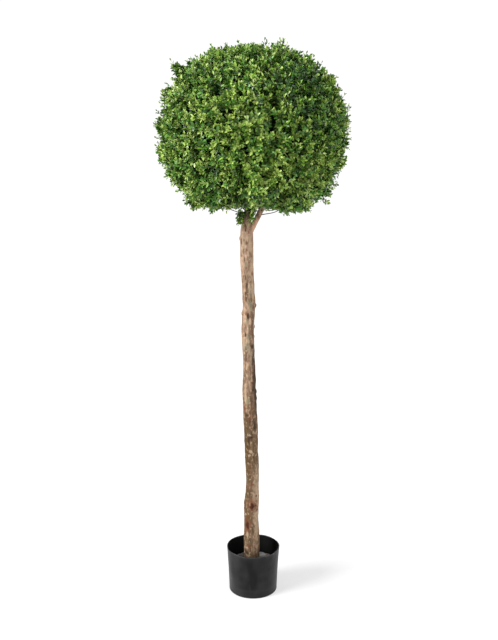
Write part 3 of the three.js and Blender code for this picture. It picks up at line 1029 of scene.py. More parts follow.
def fill_finish(name, colours):
    """Grey cement: coarse sand, pale dust and a few brown spots of spilled bark."""
    finish = Finish(name)
    sand = finish.noise(520, 3.0, 0.65)
    clouds = finish.spots((0.38, 0.66), 38, 4.0, 0.6, shift=(4, 2, 6))
    brown = finish.spots((0.58, 0.66), 70, 2.0, 0.5, shift=(6, 1, 2))
    base = finish.mix(clouds, colours.fill_dark, colours.fill_light)
    base = finish.mix(finish.step(sand, 0.4, 0.7) * 0.4, base, colours.fill_dust)
    base = finish.mix(brown * 0.7, base, colours.bark_warm)
    normal = finish.bump(sand, 0.6, 0.0012)
    return finish.surface(Base_Color=base, Roughness=0.95, Normal=normal)


def floor_finish(name, tone, glow):
    """A pale floor with faint clouds, which glows a little."""
    finish = Finish(name)
    cloud = finish.noise(1.3, 2.0, 0.5)
    base = finish.mix(cloud * 0.06, tone, (0.2, 0.2, 0.2))
    return finish.surface(
        Base_Color=base, Roughness=0.9, Emission_Color=(1, 1, 1, 1), Emission_Strength=glow
    )


# What a user would change

def colour_property(name, description, default):
    return FloatVectorProperty(
        name=name, description=description, default=default, size=3, min=0, max=1, subtype="COLOR"
    )


def length_property(name, description, default):
    return FloatProperty(name=name, description=description, default=default, min=0, unit="LENGTH")


def count_property(name, description, default, least):
    return IntProperty(name=name, description=description, default=default, min=least)


def number_property(name, description, default, least=0.0, most=1000.0):
    return FloatProperty(name=name, description=description, default=default, min=least, max=most)


def angle_property(name, description, degrees):
    return FloatProperty(
        name=name, description=description, default=math.radians(degrees), subtype="ANGLE"
    )


class BoxwoodSizes(bpy.types.PropertyGroup):
    """Sizes and counts of what grows finer than the solids."""

    leaf_length: length_property("Leaf length", "Length of a full-grown leaf", 0.0142)
    leaf_width: length_property("Leaf width", "Width of a full-grown leaf", 0.0078)
    pair_spacing: length_property("Pair spacing", "Distance between pairs of leaves", 0.0060)
    outer_sprigs: count_property("Outer sprigs", "Leafy shoots that reach the outline", 5800, 100)
    free_sprigs: count_property("Free sprigs", "Single shoots that stand out of the outline", 420, 0)
    inner_sprigs: count_property("Inner sprigs", "Leafy shoots that stay inside", 1400, 10)
    outer_pairs: count_property("Outer pairs", "Pairs of leaves on an outer sprig", 5, 1)
    inner_pairs: count_property("Inner pairs", "Pairs of leaves on an inner sprig", 4, 1)
    branch_radius: length_property("Branch radius", "Radius of a branch at its root", 0.0045)
    twig_radius: length_property("Twig radius", "Radius of a twig at its root", 0.0022)
    sprig_radius: length_property("Sprig radius", "Radius of a sprig at its root", 0.0009)
    bark_relief: length_property("Bark relief", "Height of the bark's ridges", 0.0011)
    rim_wave: length_property("Rim wave", "How far the soft rim bends up and down", 0.0028)


class BoxwoodColours(bpy.types.PropertyGroup):
    """Base colours of leaves, bark, pot and fill."""

    leaf_young: colour_property("Young leaf", "Yellow-green leaves at the tips", (0.256, 0.348, 0.072))
    leaf_light: colour_property("Light leaf", "Bright green leaves", (0.172, 0.272, 0.040))
    leaf_mid: colour_property("Mid leaf", "Full green leaves", (0.102, 0.200, 0.021))
    leaf_deep: colour_property("Deep leaf", "Dark green leaves", (0.039, 0.108, 0.011))
    # Older leaves, also used as painted shade deep down the shoots and inside the ball
    leaf_dark: colour_property("Dark leaf", "Older leaves down the shoots", (0.013, 0.050, 0.007))
    # Painted shade: leaves inside the ball take a near-black green for the shade there
    leaf_inner: colour_property("Inner leaf", "Leaves inside the ball", (0.008, 0.028, 0.006))
    leaf_cool: colour_property("Cool leaf", "Fresh green leaves", (0.066, 0.184, 0.024))
    shoot: colour_property("Shoot", "Thin stems", (0.06, 0.065, 0.035))
    shoot_light: colour_property("Shoot light", "Streaks on thin stems", (0.15, 0.14, 0.08))
    bark_light: colour_property("Bark light", "Pale ridges of the bark", (0.27, 0.178, 0.120))
    bark_pale: colour_property("Bark pale", "Palest patches", (0.33, 0.24, 0.16))
    bark_mid: colour_property("Bark", "Main colour of the bark", (0.155, 0.098, 0.060))
    bark_shade: colour_property("Bark shade", "Hollows of the bark", (0.075, 0.046, 0.03))
    bark_grey: colour_property("Bark grey", "Greenish grey patches", (0.125, 0.118, 0.078))
    bark_high: colour_property("Bark high", "Pinker bark below the fork", (0.272, 0.180, 0.124))
    # Partly the bough's rosy colour, partly painted light where the crown shades the bough
    bark_rosy_and_lit: colour_property("Bark rosy", "Fresh bark of the bough", (0.46, 0.27, 0.175))
    bark_low: colour_property("Bark low", "Browner bark near the foot", (0.042, 0.024, 0.0075))
    bark_warm: colour_property("Bark warm", "Red-brown spots", (0.085, 0.032, 0.015))
    bark_crack: colour_property("Bark crack", "Deep cracks", (0.03, 0.018, 0.011))
    bark_scar: colour_property("Bark scar", "Knots where shoots were cut", (0.024, 0.007, 0.0035))
    pot_dark: colour_property("Pot dark", "Darkest plastic", (0.0020, 0.0020, 0.0021))
    pot_mid: colour_property("Pot", "Main colour of the plastic", (0.0100, 0.0100, 0.0104))
    pot_scuffed: colour_property("Pot scuffed", "Scuffed plastic", (0.014, 0.014, 0.0145))
    # Painted highlight of the rim lip, partly plastic rubbed pale
    pot_rubbed_highlight: colour_property("Pot rubbed", "Plastic rubbed pale at the rim", (0.06, 0.06, 0.06))
    # Painted shade: the inside of the pot is given darker plastic than the outside
    pot_inside: colour_property("Pot inside", "Inside of the pot", (0.0028, 0.0028, 0.0026))
    fill_light: colour_property("Fill light", "Pale cement", (0.34, 0.34, 0.33))
    fill_dark: colour_property("Fill dark", "Dark cement", (0.11, 0.11, 0.11))
    fill_dust: colour_property("Fill dust", "Dust on the cement", (0.36, 0.35, 0.34))


class BoxwoodStudio(bpy.types.PropertyGroup):
    """Camera, light and floor."""

    camera_place: FloatVectorProperty(
        name="Camera place",
        description="Where the camera stands",
        default=(-0.0116, -2.10, 1.12),
        size=3,
        subtype="TRANSLATION",
        unit="LENGTH",
    )
    camera_pitch: angle_property("Camera pitch", "How far the camera looks down", 9.42)
    camera_lens: number_property("Lens", "Focal length in millimetres on a 36 mm sensor", 44.5, 1.0)
    key_strength: number_property("Key strength", "Strength of the main light", 7.5)
    key_angle: angle_property("Key softness", "Angle that the main light covers", 33)
    key_elevation: angle_property("Key elevation", "Height of the main light above the horizon", 24)
    key_azimuth: angle_property("Key azimuth", "Side of the main light, from the front to the left", 64.5)
    side_strength: number_property("Side strength", "Strength of the wide light from the right", 4.0)
    side_angle: angle_property("Side softness", "Angle that the wide light covers", 70)
    side_elevation: angle_property("Side elevation", "Height of the wide light above the horizon", 8)
    side_azimuth: angle_property("Side azimuth", "Side of the wide light, from the front to the left", -65)
    room_strength: number_property("Room strength", "Strength of the white room's light", 1.05)
    ceiling_share: number_property("Ceiling share", "How bright the room is overhead", 0.4, 0.0, 1.0)
    floor_colour: colour_property("Floor", "Colour of the floor", (0.33, 0.33, 0.33))
    floor_glow: number_property("Floor glow", "Light that the floor gives by itself", 0.52)


# Bark relief

# Marks on the trunk: height, turn from the front towards the right in degrees, half its height and half its
# width, how far it stands out, and its kind
MARKS = (
    (1.026, 14, 0.0100, 0.0040, 0.0004, "pale"),
    (1.021, -12, 0.0080, 0.0038, -0.0003, "stain"),
    (1.013, -8, 0.0045, 0.0022, -0.0006, "crack"),
    (1.008, 18, 0.0040, 0.0024, -0.0003, "stain"),
    (0.994, 4, 0.0060, 0.0028, 0.0002, "pale"),
    (0.986, -24, 0.0030, 0.0020, 0.0, "stain"),
    (0.979, 10, 0.0028, 0.0020, 0.0, "stain"),
    # Partly pale patches, partly painted light on the right side below the crown
    (0.975, 34, 0.0240, 0.0060, 0.0, "pale"),
    (0.970, -6, 0.0050, 0.0026, 0.0002, "pale"),
    (0.982, -62, 0.0120, 0.0030, -0.0008, "crack"),
    (0.961, 2, 0.0035, 0.0030, 0.0, "stain"),
    (0.955, 14, 0.0120, 0.0035, 0.0004, "pale"),
    (0.957, -27, 0.0080, 0.0015, -0.0010, "crack"),
    (0.936, -20, 0.0080, 0.0014, -0.0010, "crack"),
    (0.946, -50, 0.0050, 0.0030, 0.0, "stain"),
    (0.944, -10, 0.0050, 0.0040, 0.0004, "pale"),
    (0.922, -7, 0.0060, 0.0045, -0.0006, "moss"),
    (0.898, 52, 0.0060, 0.0040, -0.0006, "stain"),
    (0.928, 20, 0.0030, 0.0022, 0.0, "stain"),
    (0.922, -34, 0.0060, 0.0026, 0.0002, "pale"),
    (0.914, -8, 0.0032, 0.0020, 0.0, "stain"),
    # Partly pale patches, partly painted light on the right side below the crown
    (0.905, 46, 0.0300, 0.0070, 0.0, "pale"),
    (0.900, 14, 0.0060, 0.0030, 0.0002, "pale"),
    (0.891, -42, 0.0034, 0.0022, 0.0, "stain"),
    (0.877, 22, 0.0030, 0.0022, 0.0, "stain"),
    (0.846, -30, 0.0036, 0.0022, 0.0, "stain"),
    (0.838, 8, 0.0050, 0.0026, 0.0002, "pale"),
    (0.826, 28, 0.0030, 0.0022, 0.0, "stain"),
    (0.705, -48, 0.0300, 0.0050, 0.0, "pale"),
    (0.888, -19, 0.0075, 0.0017, -0.0009, "crack"),
    (0.869, -12, 0.0065, 0.0018, -0.0009, "crack"),
    # Partly pale patches, partly painted light on the right side below the crown
    (0.852, 44, 0.0250, 0.0070, 0.0, "pale"),
    (0.862, 12, 0.0150, 0.0030, 0.0004, "pale"),
    (0.838, -30, 0.0120, 0.0022, -0.0010, "crack"),
    (0.812, 84, 0.0045, 0.0045, 0.0038, "stub"),
    (0.812, 20, 0.0150, 0.0050, 0.0, "moss"),
    (0.791, -20, 0.0045, 0.0050, -0.0008, "stain"),
    (0.784, -4, 0.0110, 0.0034, -0.0024, "crack"),
    (0.771, -10, 0.0060, 0.0036, 0.0, "moss"),
    (0.769, 16, 0.0090, 0.0045, 0.0006, "pale"),
    (0.754, 82, 0.0050, 0.0048, 0.0036, "stub"),
    (0.738, 54, 0.0110, 0.0050, -0.0006, "stain"),
    (0.734, -25, 0.0050, 0.0022, -0.0010, "crack"),
    (0.728, 7, 0.0032, 0.0085, -0.0006, "moss"),
    (0.728, 82, 0.0042, 0.0042, 0.0022, "stub"),
    (0.717, -5, 0.0070, 0.0060, 0.0004, "pale"),
    (0.702, 38, 0.0075, 0.0046, -0.0008, "crack"),
    (0.603, 25, 0.0040, 0.0040, 0.0, "stain"),
    # Painted shade: a long dark strip down the trunk's right edge, made of two broad cracks
    (0.600, 85, 0.1000, 0.0100, 0.0, "crack"),
    (0.600, 60, 0.0950, 0.0100, -0.0016, "crack"),
    (0.562, -38, 0.0180, 0.0040, 0.0, "pale"),
    (0.556, 80, 0.0060, 0.0050, 0.0024, "stub"),
    (0.552, -16, 0.0080, 0.0050, 0.0, "moss"),
    (0.529, 24, 0.0055, 0.0036, 0.0, "stain"),
    (0.528, -48, 0.0085, 0.0042, 0.0004, "stain"),
    (0.511, -25, 0.0030, 0.0052, -0.0008, "crack"),
    (0.501, -18, 0.0046, 0.0055, 0.0014, "stain"),
    (0.497, -62, 0.0050, 0.0040, -0.0006, "crack"),
    (0.480, 36, 0.0150, 0.0060, -0.0012, "crack"),
    (0.448, 3, 0.0042, 0.0060, -0.0005, "crack"),
    # Painted shade: a broad dark mark on the left of the lower trunk, the side the light leaves darker
    (0.400, -62, 0.1100, 0.0190, 0.0, "shade"),
    (0.436, -16, 0.0190, 0.0028, -0.0022, "crack"),
    (0.408, -7, 0.0050, 0.0050, 0.0004, "pale"),
    (0.367, -18, 0.0026, 0.0060, 0.0, "stain"),
    (0.312, -8, 0.0030, 0.0085, 0.0003, "stain"),
    (0.279, 36, 0.0032, 0.0026, -0.0004, "crack"),
    (0.262, -11, 0.0032, 0.0110, -0.0004, "stain"),
    (0.251, 5, 0.0130, 0.0110, 0.0016, "scar"),
    (0.239, 47, 0.0024, 0.0024, 0.0, "crack"),
    # Painted shade on the left of the lower trunk, like the one above
    (0.230, -58, 0.1100, 0.0200, 0.0, "shade"),
    # Partly pale patches, partly painted light on the right of the lower trunk
    (0.250, 46, 0.1200, 0.0140, 0.0, "pale"),
    (0.222, -20, 0.0040, 0.0036, 0.0, "stain"),
    (0.195, -30, 0.0150, 0.0100, 0.0008, "scar"),
    (0.194, 4, 0.0042, 0.0036, 0.0010, "pale"),
    (0.168, -33, 0.0100, 0.0042, 0.0, "pale"),
    (0.133, -23, 0.0060, 0.0070, 0.0, "stain"),
    (0.113, -45, 0.0060, 0.0070, -0.0004, "crack"),
)

# Marks on the right bough, in the same form. Its pale marks are partly painted light where the crown shades
# it
BOUGH_MARKS = (
    (1.030, 10, 0.0120, 0.0050, 0.0, "pale"),
    (1.034, -12, 0.0050, 0.0026, -0.0004, "stain"),
    (1.040, 22, 0.0050, 0.0024, -0.0004, "stain"),
    (1.045, -6, 0.0090, 0.0034, -0.0006, "stain"),
    (1.050, 16, 0.0100, 0.0046, 0.0004, "pale"),
    (1.056, 4, 0.0050, 0.0026, -0.0004, "stain"),
    (1.062, -10, 0.0080, 0.0034, 0.0004, "stain"),
)

# Marks round the rest of the trunk: kinds in turn, with half their height and how far they stand out, then
# how many there are, ranges of their turn and half their width, how far above the ground they start, and
# how much of the height up to the fork stays free of them
BACK_KINDS = (
    ("moss", 0.013, 0.0),
    ("stub", 0.0055, 0.0032),
    ("stain", 0.0055, 0.0),
    ("crack", 0.013, -0.0018),
    ("pale", 0.0055, 0.0),
    ("scar", 0.0055, 0.0010),
    ("crack", 0.013, -0.0018),
    ("stain", 0.0055, 0.0),
)
BACK_MARKS = 34
BACK_MARK_SEED = 7
BACK_MARK_TURNS = (100, 262)
BACK_MARK_WIDTHS = (0.0032, 0.0052)
BACK_MARK_LOWEST = 0.03
BACK_MARK_FREE = 0.05

# Kinds of mark with a mask for the bark's finish, the shade kind being painted shade, and shares of a
# mark's size between which it fades out
MASKS = ("scar", "crack", "stain", "moss", "pale", "shade")
MARK_FADE = (0.55, 1.25)
FRONT_TURN = -math.pi / 2

# Heights between which the bark turns pinker towards the fork, browner towards the foot, and then a little
# less brown, with the share of brown that stays
PINK_FROM = (0.84, 0.93)
BROWN_FROM = (0.46, 0.62)
BROWN_LESS = (0.30, 0.37)
BROWN_AT_FOOT = 0.76


def all_marks():
    """The marks in view, and more like them round the rest of the trunk."""
    draw = np.random.default_rng(BACK_MARK_SEED)
    marks = list(MARKS)
    for number in range(BACK_MARKS):
        share = number + draw.uniform(0.2, 0.8)
        span = FORK_HEIGHT - GROUND - BACK_MARK_FREE
        height = GROUND + BACK_MARK_LOWEST + span * share / BACK_MARKS
        kind, tall, rise = BACK_KINDS[number % len(BACK_KINDS)]
        turn = draw.uniform(*BACK_MARK_TURNS)
        marks.append((height, turn, tall, draw.uniform(*BACK_MARK_WIDTHS), rise, kind))
    return marks


def lattice_noise(turns, heights, round_cells, cell_height, seed):
    """Smooth random values from -1 to 1 that close round the trunk."""
    draw = np.random.default_rng(seed)
    u = (turns / (2 * math.pi) % 1) * round_cells
    v = heights / cell_height
    rows = int(np.max(v)) + 3
    grid = draw.uniform(-1, 1, (rows, round_cells))
    u0, v0 = np.floor(u).astype(int), np.floor(v).astype(int)
    fu, fv = u - u0, v - v0
    fu, fv = fu * fu * (3 - 2 * fu), fv * fv * (3 - 2 * fv)
    u0 = u0 % round_cells
    u1 = (u0 + 1) % round_cells
    low = grid[v0, u0] * (1 - fu) + grid[v0, u1] * fu
    high = grid[v0 + 1, u0] * (1 - fu) + grid[v0 + 1, u1] * fu
    return low * (1 - fv) + high * fv


def bark_relief(turns, heights, size, seed):
    """Height of bark ridges: long fibres, broken plates and fine grain."""
    drift = 0.35 * lattice_noise(turns, heights, 5, 0.09, seed)
    fibres = lattice_noise(turns + drift, heights, 26, 0.034, seed + 1)
    fine = lattice_noise(turns + drift, heights, 46, 0.016, seed + 2)
    plates = lattice_noise(turns, heights, 9, 0.022, seed + 3)
    bumps = lattice_noise(turns, heights, 5, 0.060, seed + 4)
    ridges = 0.3 - np.abs(fibres) * 2
    return size * (0.55 * ridges + 0.45 * fine + 0.6 * plates + 1.5 * bumps)


def bark_tube(centres, radii, sides, size, seed, marks, level_rings=False):
    """A limb with bark relief and marks, as points, triangles and the marks' masks."""
    rows = len(centres)
    if level_rings:
        across = np.tile(RIGHT, (rows, 1))
        away = np.tile(BACK, (rows, 1))
    else:
        along = unit(np.gradient(centres, axis=0))
        across = unit(np.cross(along, BACK))
        away = np.cross(along, across)
    turn = np.broadcast_to(turns_round(sides), (rows, sides))
    steps = np.linalg.norm(np.diff(centres, axis=0), axis=1)
    run = np.concatenate([[0], np.cumsum(steps)])
    run = np.broadcast_to(run[:, None], (rows, sides))
    height = np.broadcast_to(centres[:, 2][:, None], (rows, sides))
    out = radii[:, None] + bark_relief(turn, run, size, seed)
    ragged = 0.3 * lattice_noise(turn, run, 24, 0.006, seed + 9)
    ragged = ragged + 0.2 * lattice_noise(turn, run, 40, 0.003, seed + 8)
    masks = {kind: np.zeros((rows, sides)) for kind in MASKS}

    def cover(kind, spot):
        masks[kind] = np.maximum(masks[kind], spot)

    for mark_height, degrees, tall, wide, rise, kind in marks:
        middle = FRONT_TURN + math.radians(degrees)
        aside = (turn - middle + math.pi) % (2 * math.pi) - math.pi
        far = np.hypot((height - mark_height) / tall, aside * radii[:, None] / wide)
        edge = far + ragged
        out = out + rise * bell(far, 0, 1)
        if kind == "stub":
            out = out - 0.0012 * np.exp(-6 * far**2)
            cover("scar", fading(edge, 0.2, 0.6))
            cover("stain", 0.7 * fading(edge, *MARK_FADE))
        elif kind == "scar":
            out = out + 0.0008 * np.exp(-9 * (far - 1.1) ** 2)
            cover("scar", fading(edge, 0.4, 0.9))
            cover("stain", fading(far + 2 * ragged, 0.8, 1.7))
        else:
            cover(kind, fading(edge, *MARK_FADE))
    ring = across[:, None] * np.cos(turn)[..., None] + away[:, None] * np.sin(turn)[..., None]
    points = centres[:, None] + ring * out[..., None]
    points = np.concatenate([points.reshape(-1, 3), centres[:1], centres[-1:]])
    attributes = {kind: np.concatenate([mask.ravel(), [0, 0]]) for kind, mask in masks.items()}
    height = points[:, 2]
    foot = BROWN_AT_FOOT + (1 - BROWN_AT_FOOT) * smoothstep(height, *BROWN_LESS)
    attributes["high"] = smoothstep(height, *PINK_FROM)
    attributes["low"] = fading(height, *BROWN_FROM) * foot
    return points, tube_triangles(rows, sides), attributes


# Operators, one for each group of pieces

class BOXWOOD_OT_bark(bpy.types.Operator):
    """Replace the trunk and the right bough by limbs with bark relief"""

    bl_idname = "boxwood.bark"
    bl_label = "Trunk and bough"

    # Rows of points, points round and the seed of the relief
    TRUNK_MESH = (620, 84, 3)
    BOUGH_MESH = (90, 44, 9)
    # The bough's relief in shares of the trunk's, and its share of rosy bark, partly painted light where
    # the crown shades the bough
    BOUGH_RELIEF = 0.6
    BOUGH_ROSY_AND_LIGHT = 0.65
    # Gap between the trunk's foot and the fill
    FOOT_GAP = 0.0002

    def execute(self, context):
        relief = context.scene.boxwood_sizes.bark_relief
        colours = context.scene.boxwood_colours
        rows, sides, seed = self.TRUNK_MESH
        heights = np.linspace(GROUND + self.FOOT_GAP, TRUNK_TIP, rows)
        radii = value_at(TRUNK_RADII, heights)
        trunk = bark_tube(trunk_centre(heights), radii, sides, relief, seed, all_marks(), level_rings=True)
        self.build("trunk", trunk, bark_finish("bark", colours))
        rows, sides, seed = self.BOUGH_MESH
        shares = np.linspace(0, 1, rows)
        radii = BOUGH_RADIUS - BOUGH_TAPER * shares + BOUGH_SWELLING * np.exp(-shares * 9)
        centres = cubic_points(BOUGH_RIGHT, shares)
        bough = bark_tube(centres, radii, sides, self.BOUGH_RELIEF * relief, seed, BOUGH_MARKS)
        self.build("bough_right", bough, bark_finish("bark_bough", colours, self.BOUGH_ROSY_AND_LIGHT))
        return {"FINISHED"}

    def build(self, node, limb, finish):
        points, triangles, masks = limb
        build_piece(f"bark_{node}", points, triangles, [node], finish, masks)


class BOXWOOD_OT_shoots(bpy.types.Operator):
    """Replace the thin shoots under the crown by stems with swollen joints"""

    bl_idname = "boxwood.shoots"
    bl_label = "Thin shoots"

    ROWS = 40
    SIDES = 10

    def execute(self, context):
        colours = context.scene.boxwood_colours
        finish = shoot_finish("thin_shoot", colours.shoot, colours.shoot_light)
        shares = np.linspace(0, 1, self.ROWS)
        joints = SHOOT_JOINT * np.maximum(np.cos(shares * 40), 0) ** 8
        radii = SHOOT_RADIUS - SHOOT_TAPER * shares + joints
        for name, controls in SHOOTS.items():
            points, triangles = tubes(cubic_points(controls, shares)[None], radii, self.SIDES)
            build_piece(f"stem_{name}", points, triangles, [name], finish)
        return {"FINISHED"}


class BOXWOOD_OT_foliage(bpy.types.Operator):
    """Grow the crown's branches, twigs and leaves, and the sprigs by the fork"""

    bl_idname = "boxwood.foliage"
    bl_label = "Foliage"

    LEAF_SEED = 5
    LEAF_ROUGHNESS = 0.3
    # Tones from light to dark, then one beside them, and the numbers of some
    TONES = ("young", "light", "mid", "deep", "dark", "inner", "cool")
    DEEP = 3
    DARK = 4
    COOL = 6
    # Shares of the tones on each kind of sprig. Inner sprigs take only the darkest, as painted shade in the
    # ball.
    OUTER_TONES = (0.14, 0.26, 0.28, 0.13, 0.0, 0.0, 0.19)
    INNER_TONES = (0.0, 0.0, 0.0, 0.16, 0.30, 0.54, 0.0)
    FREE_TONES = (0.1, 0.3, 0.3, 0.2, 0.0, 0.0, 0.1)
    SIDE_TONES = (0.05, 0.30, 0.35, 0.15, 0.0, 0.0, 0.15)
    # Shares of leaves one tone lighter, unchanged, one darker and two darker, by pair from the tip. Leaves
    # get lighter at the tip and darker down the shoot, partly with age and partly as painted light at the
    # tips and painted shade deeper in the ball.
    DRIFTS = (
        (0.38, 0.37, 0.17, 0.08),
        (0.25, 0.38, 0.25, 0.12),
        (0.08, 0.36, 0.34, 0.22),
        (0.0, 0.25, 0.40, 0.35),
        (0.0, 0.10, 0.40, 0.50),
    )

    def execute(self, context):
        sizes = context.scene.boxwood_sizes
        colours = context.scene.boxwood_colours
        draw = np.random.default_rng(self.LEAF_SEED)
        branches = grow_branches()
        twigs = grow_twigs(branches)
        room = LEAF_ROOM * sizes.leaf_length
        outer = grow_sprigs(twigs, sizes.outer_sprigs, OUTER_SEED, OUTER_SHARES, room, around_strays)
        inner = grow_sprigs(twigs, sizes.inner_sprigs, INNER_SEED, INNER_SHARES, room)
        free = grow_sprigs(twigs, sizes.free_sprigs, FREE_SEED, FREE_SHARES, room, around_spikes, False)
        side = self.side_sprigs()
        self.make_twigs(sizes, colours, branches, twigs)
        self.make_sprig_stems(sizes, colours, (outer, inner, free, side))
        habits = (
            (outer, Habit(sizes.outer_pairs, self.OUTER_TONES)),
            (inner, Habit(sizes.inner_pairs, self.INNER_TONES, scale=1.45)),
            (free, Habit(5, self.FREE_TONES, scale=0.85, stretch=1.4, opening=0.85, slimness=1.25)),
            (side, Habit(5, self.SIDE_TONES, scale=0.75)),
        )
        foliage = Foliage(len(self.TONES))
        for limbs, habit in habits:
            self.add_leaves(foliage, limbs, habit, sizes, draw)
        for number, tone in enumerate(self.TONES):
            points, triangles, rib = foliage.mesh(number)
            nodes = ["crown", "sprig_left", "sprig_fork"] if tone == "mid" else []
            base = getattr(colours, f"leaf_{tone}")
            light = [min(channel * 1.5 + 0.006, 1) for channel in base]
            dark = [channel * 0.6 for channel in base]
            finish = leaf_finish(f"leaf_{tone}", base, light, dark, self.LEAF_ROUGHNESS)
            build_piece(f"leaves_{tone}", points, triangles, nodes, finish, {"rib": rib})
        return {"FINISHED"}

    def build_stems(self, name, material_name, colours, parts):
        finish = shoot_finish(material_name, colours.shoot, colours.shoot_light)
        points, triangles = joined(parts)
        build_piece(name, points, triangles, [], finish)

    def make_twigs(self, sizes, colours, branches, twigs):
        """The branches, the twigs, the stem and the stems of both sprigs by the fork as one piece."""
        shares = np.linspace(0, 1, 8)
        rises = np.linspace(0, STEM_LENGTH, 6)
        stem = trunk_centre(TRUNK_TIP) + rises[:, None] * UP
        hanging = np.array([cubic_points(controls, shares) for controls in SPRIGS.values()])
        parts = (
            tubes(branches.points(shares), sizes.branch_radius * (1 - BRANCH_TAPER * shares), 8),
            tubes(twigs.points(shares), sizes.twig_radius * (1 - TWIG_TAPER * shares), 6),
            tubes(stem[None], np.linspace(*STEM_RADII, len(rises)), 12),
            tubes(hanging, np.linspace(*HANGING_RADII, len(shares)), 6),
        )
        self.build_stems("twigs", "twig", colours, parts)

    def make_sprig_stems(self, sizes, colours, sprigs):
        """The stems of all fine sprigs as one piece."""
        shares = np.linspace(0, 1, 4)
        radii = sizes.sprig_radius * (1 - SPRIG_TAPER * shares)
        parts = [tubes(limbs.points(shares), radii, 3) for limbs in sprigs]
        self.build_stems("sprig_stems", "sprig_stem", colours, parts)

    def add_leaves(self, foliage, limbs, habit, sizes, draw):
        """Leaves on a set of shoots. Their tone is dealt out by shoot, with painted light and shade over
        the ball, and gets darker down the shoot, partly as painted shade.
        """
        count = len(limbs.roots)
        tones = draw.choice(len(self.TONES), count, p=habit.tone_shares)
        moved = np.floor(tone_shifts(limbs.directions) + draw.uniform(0, 1, count)).astype(int)
        cool = np.where(moved > 0, self.DEEP - moved, self.COOL)
        tones = np.where(tones == self.COOL, cool, tones)
        tones = np.where(tones <= self.DARK, np.clip(tones + moved, 0, self.DARK), tones)
        for columns in leaf_pairs(limbs, habit, sizes, draw):
            pair = int(columns.pop()[0])
            drifts = self.DRIFTS[min(pair, len(self.DRIFTS) - 1)]
            shift = draw.choice((-1, 0, 1, 2), count, p=drifts)
            leaf_tones = np.where(tones <= self.DEEP, np.clip(tones + shift, 0, self.DARK), tones)
            leaving = (tones == self.COOL) & (shift > 0)
            leaf_tones = np.where(leaving, self.DEEP - 1 + shift, leaf_tones)
            foliage.add(leaf_tones, *columns)

    def side_sprigs(self):
        """Small shoots that hang together along both sprigs beside the fork."""
        draw = np.random.default_rng(HANGING_SEED)
        roots, bends, tips = [], [], []
        for name, controls in SPRIGS.items():
            count, shift = HANGING[name]
            path = cubic_points(controls, HANGING_PLACES) + (shift, 0, 0)
            for _ in range(count):
                aside = draw.normal(0, HANGING_SCATTER, (3, 3))
                aside += draw.uniform(-HANGING_SPREAD, HANGING_SPREAD, 3)
                root, middle, tip = path + aside
                tip[2] += draw.uniform(-HANGING_DROP, 0.0)
                roots.append(root)
                bends.append(2 * middle - (root + tip) / 2)
                tips.append(tip)
        tips = np.array(tips)
        return Limbs(unit(tips - CROWN_CENTRE), np.array(roots), np.array(bends), tips)


def pot_radius(height):
    """Radius of the pot's outside at a height."""
    return POT_BASE_RADIUS + (POT_RIM_RADIUS - POT_BASE_RADIUS) * (height / POT_HEIGHT) ** POT_FLARE


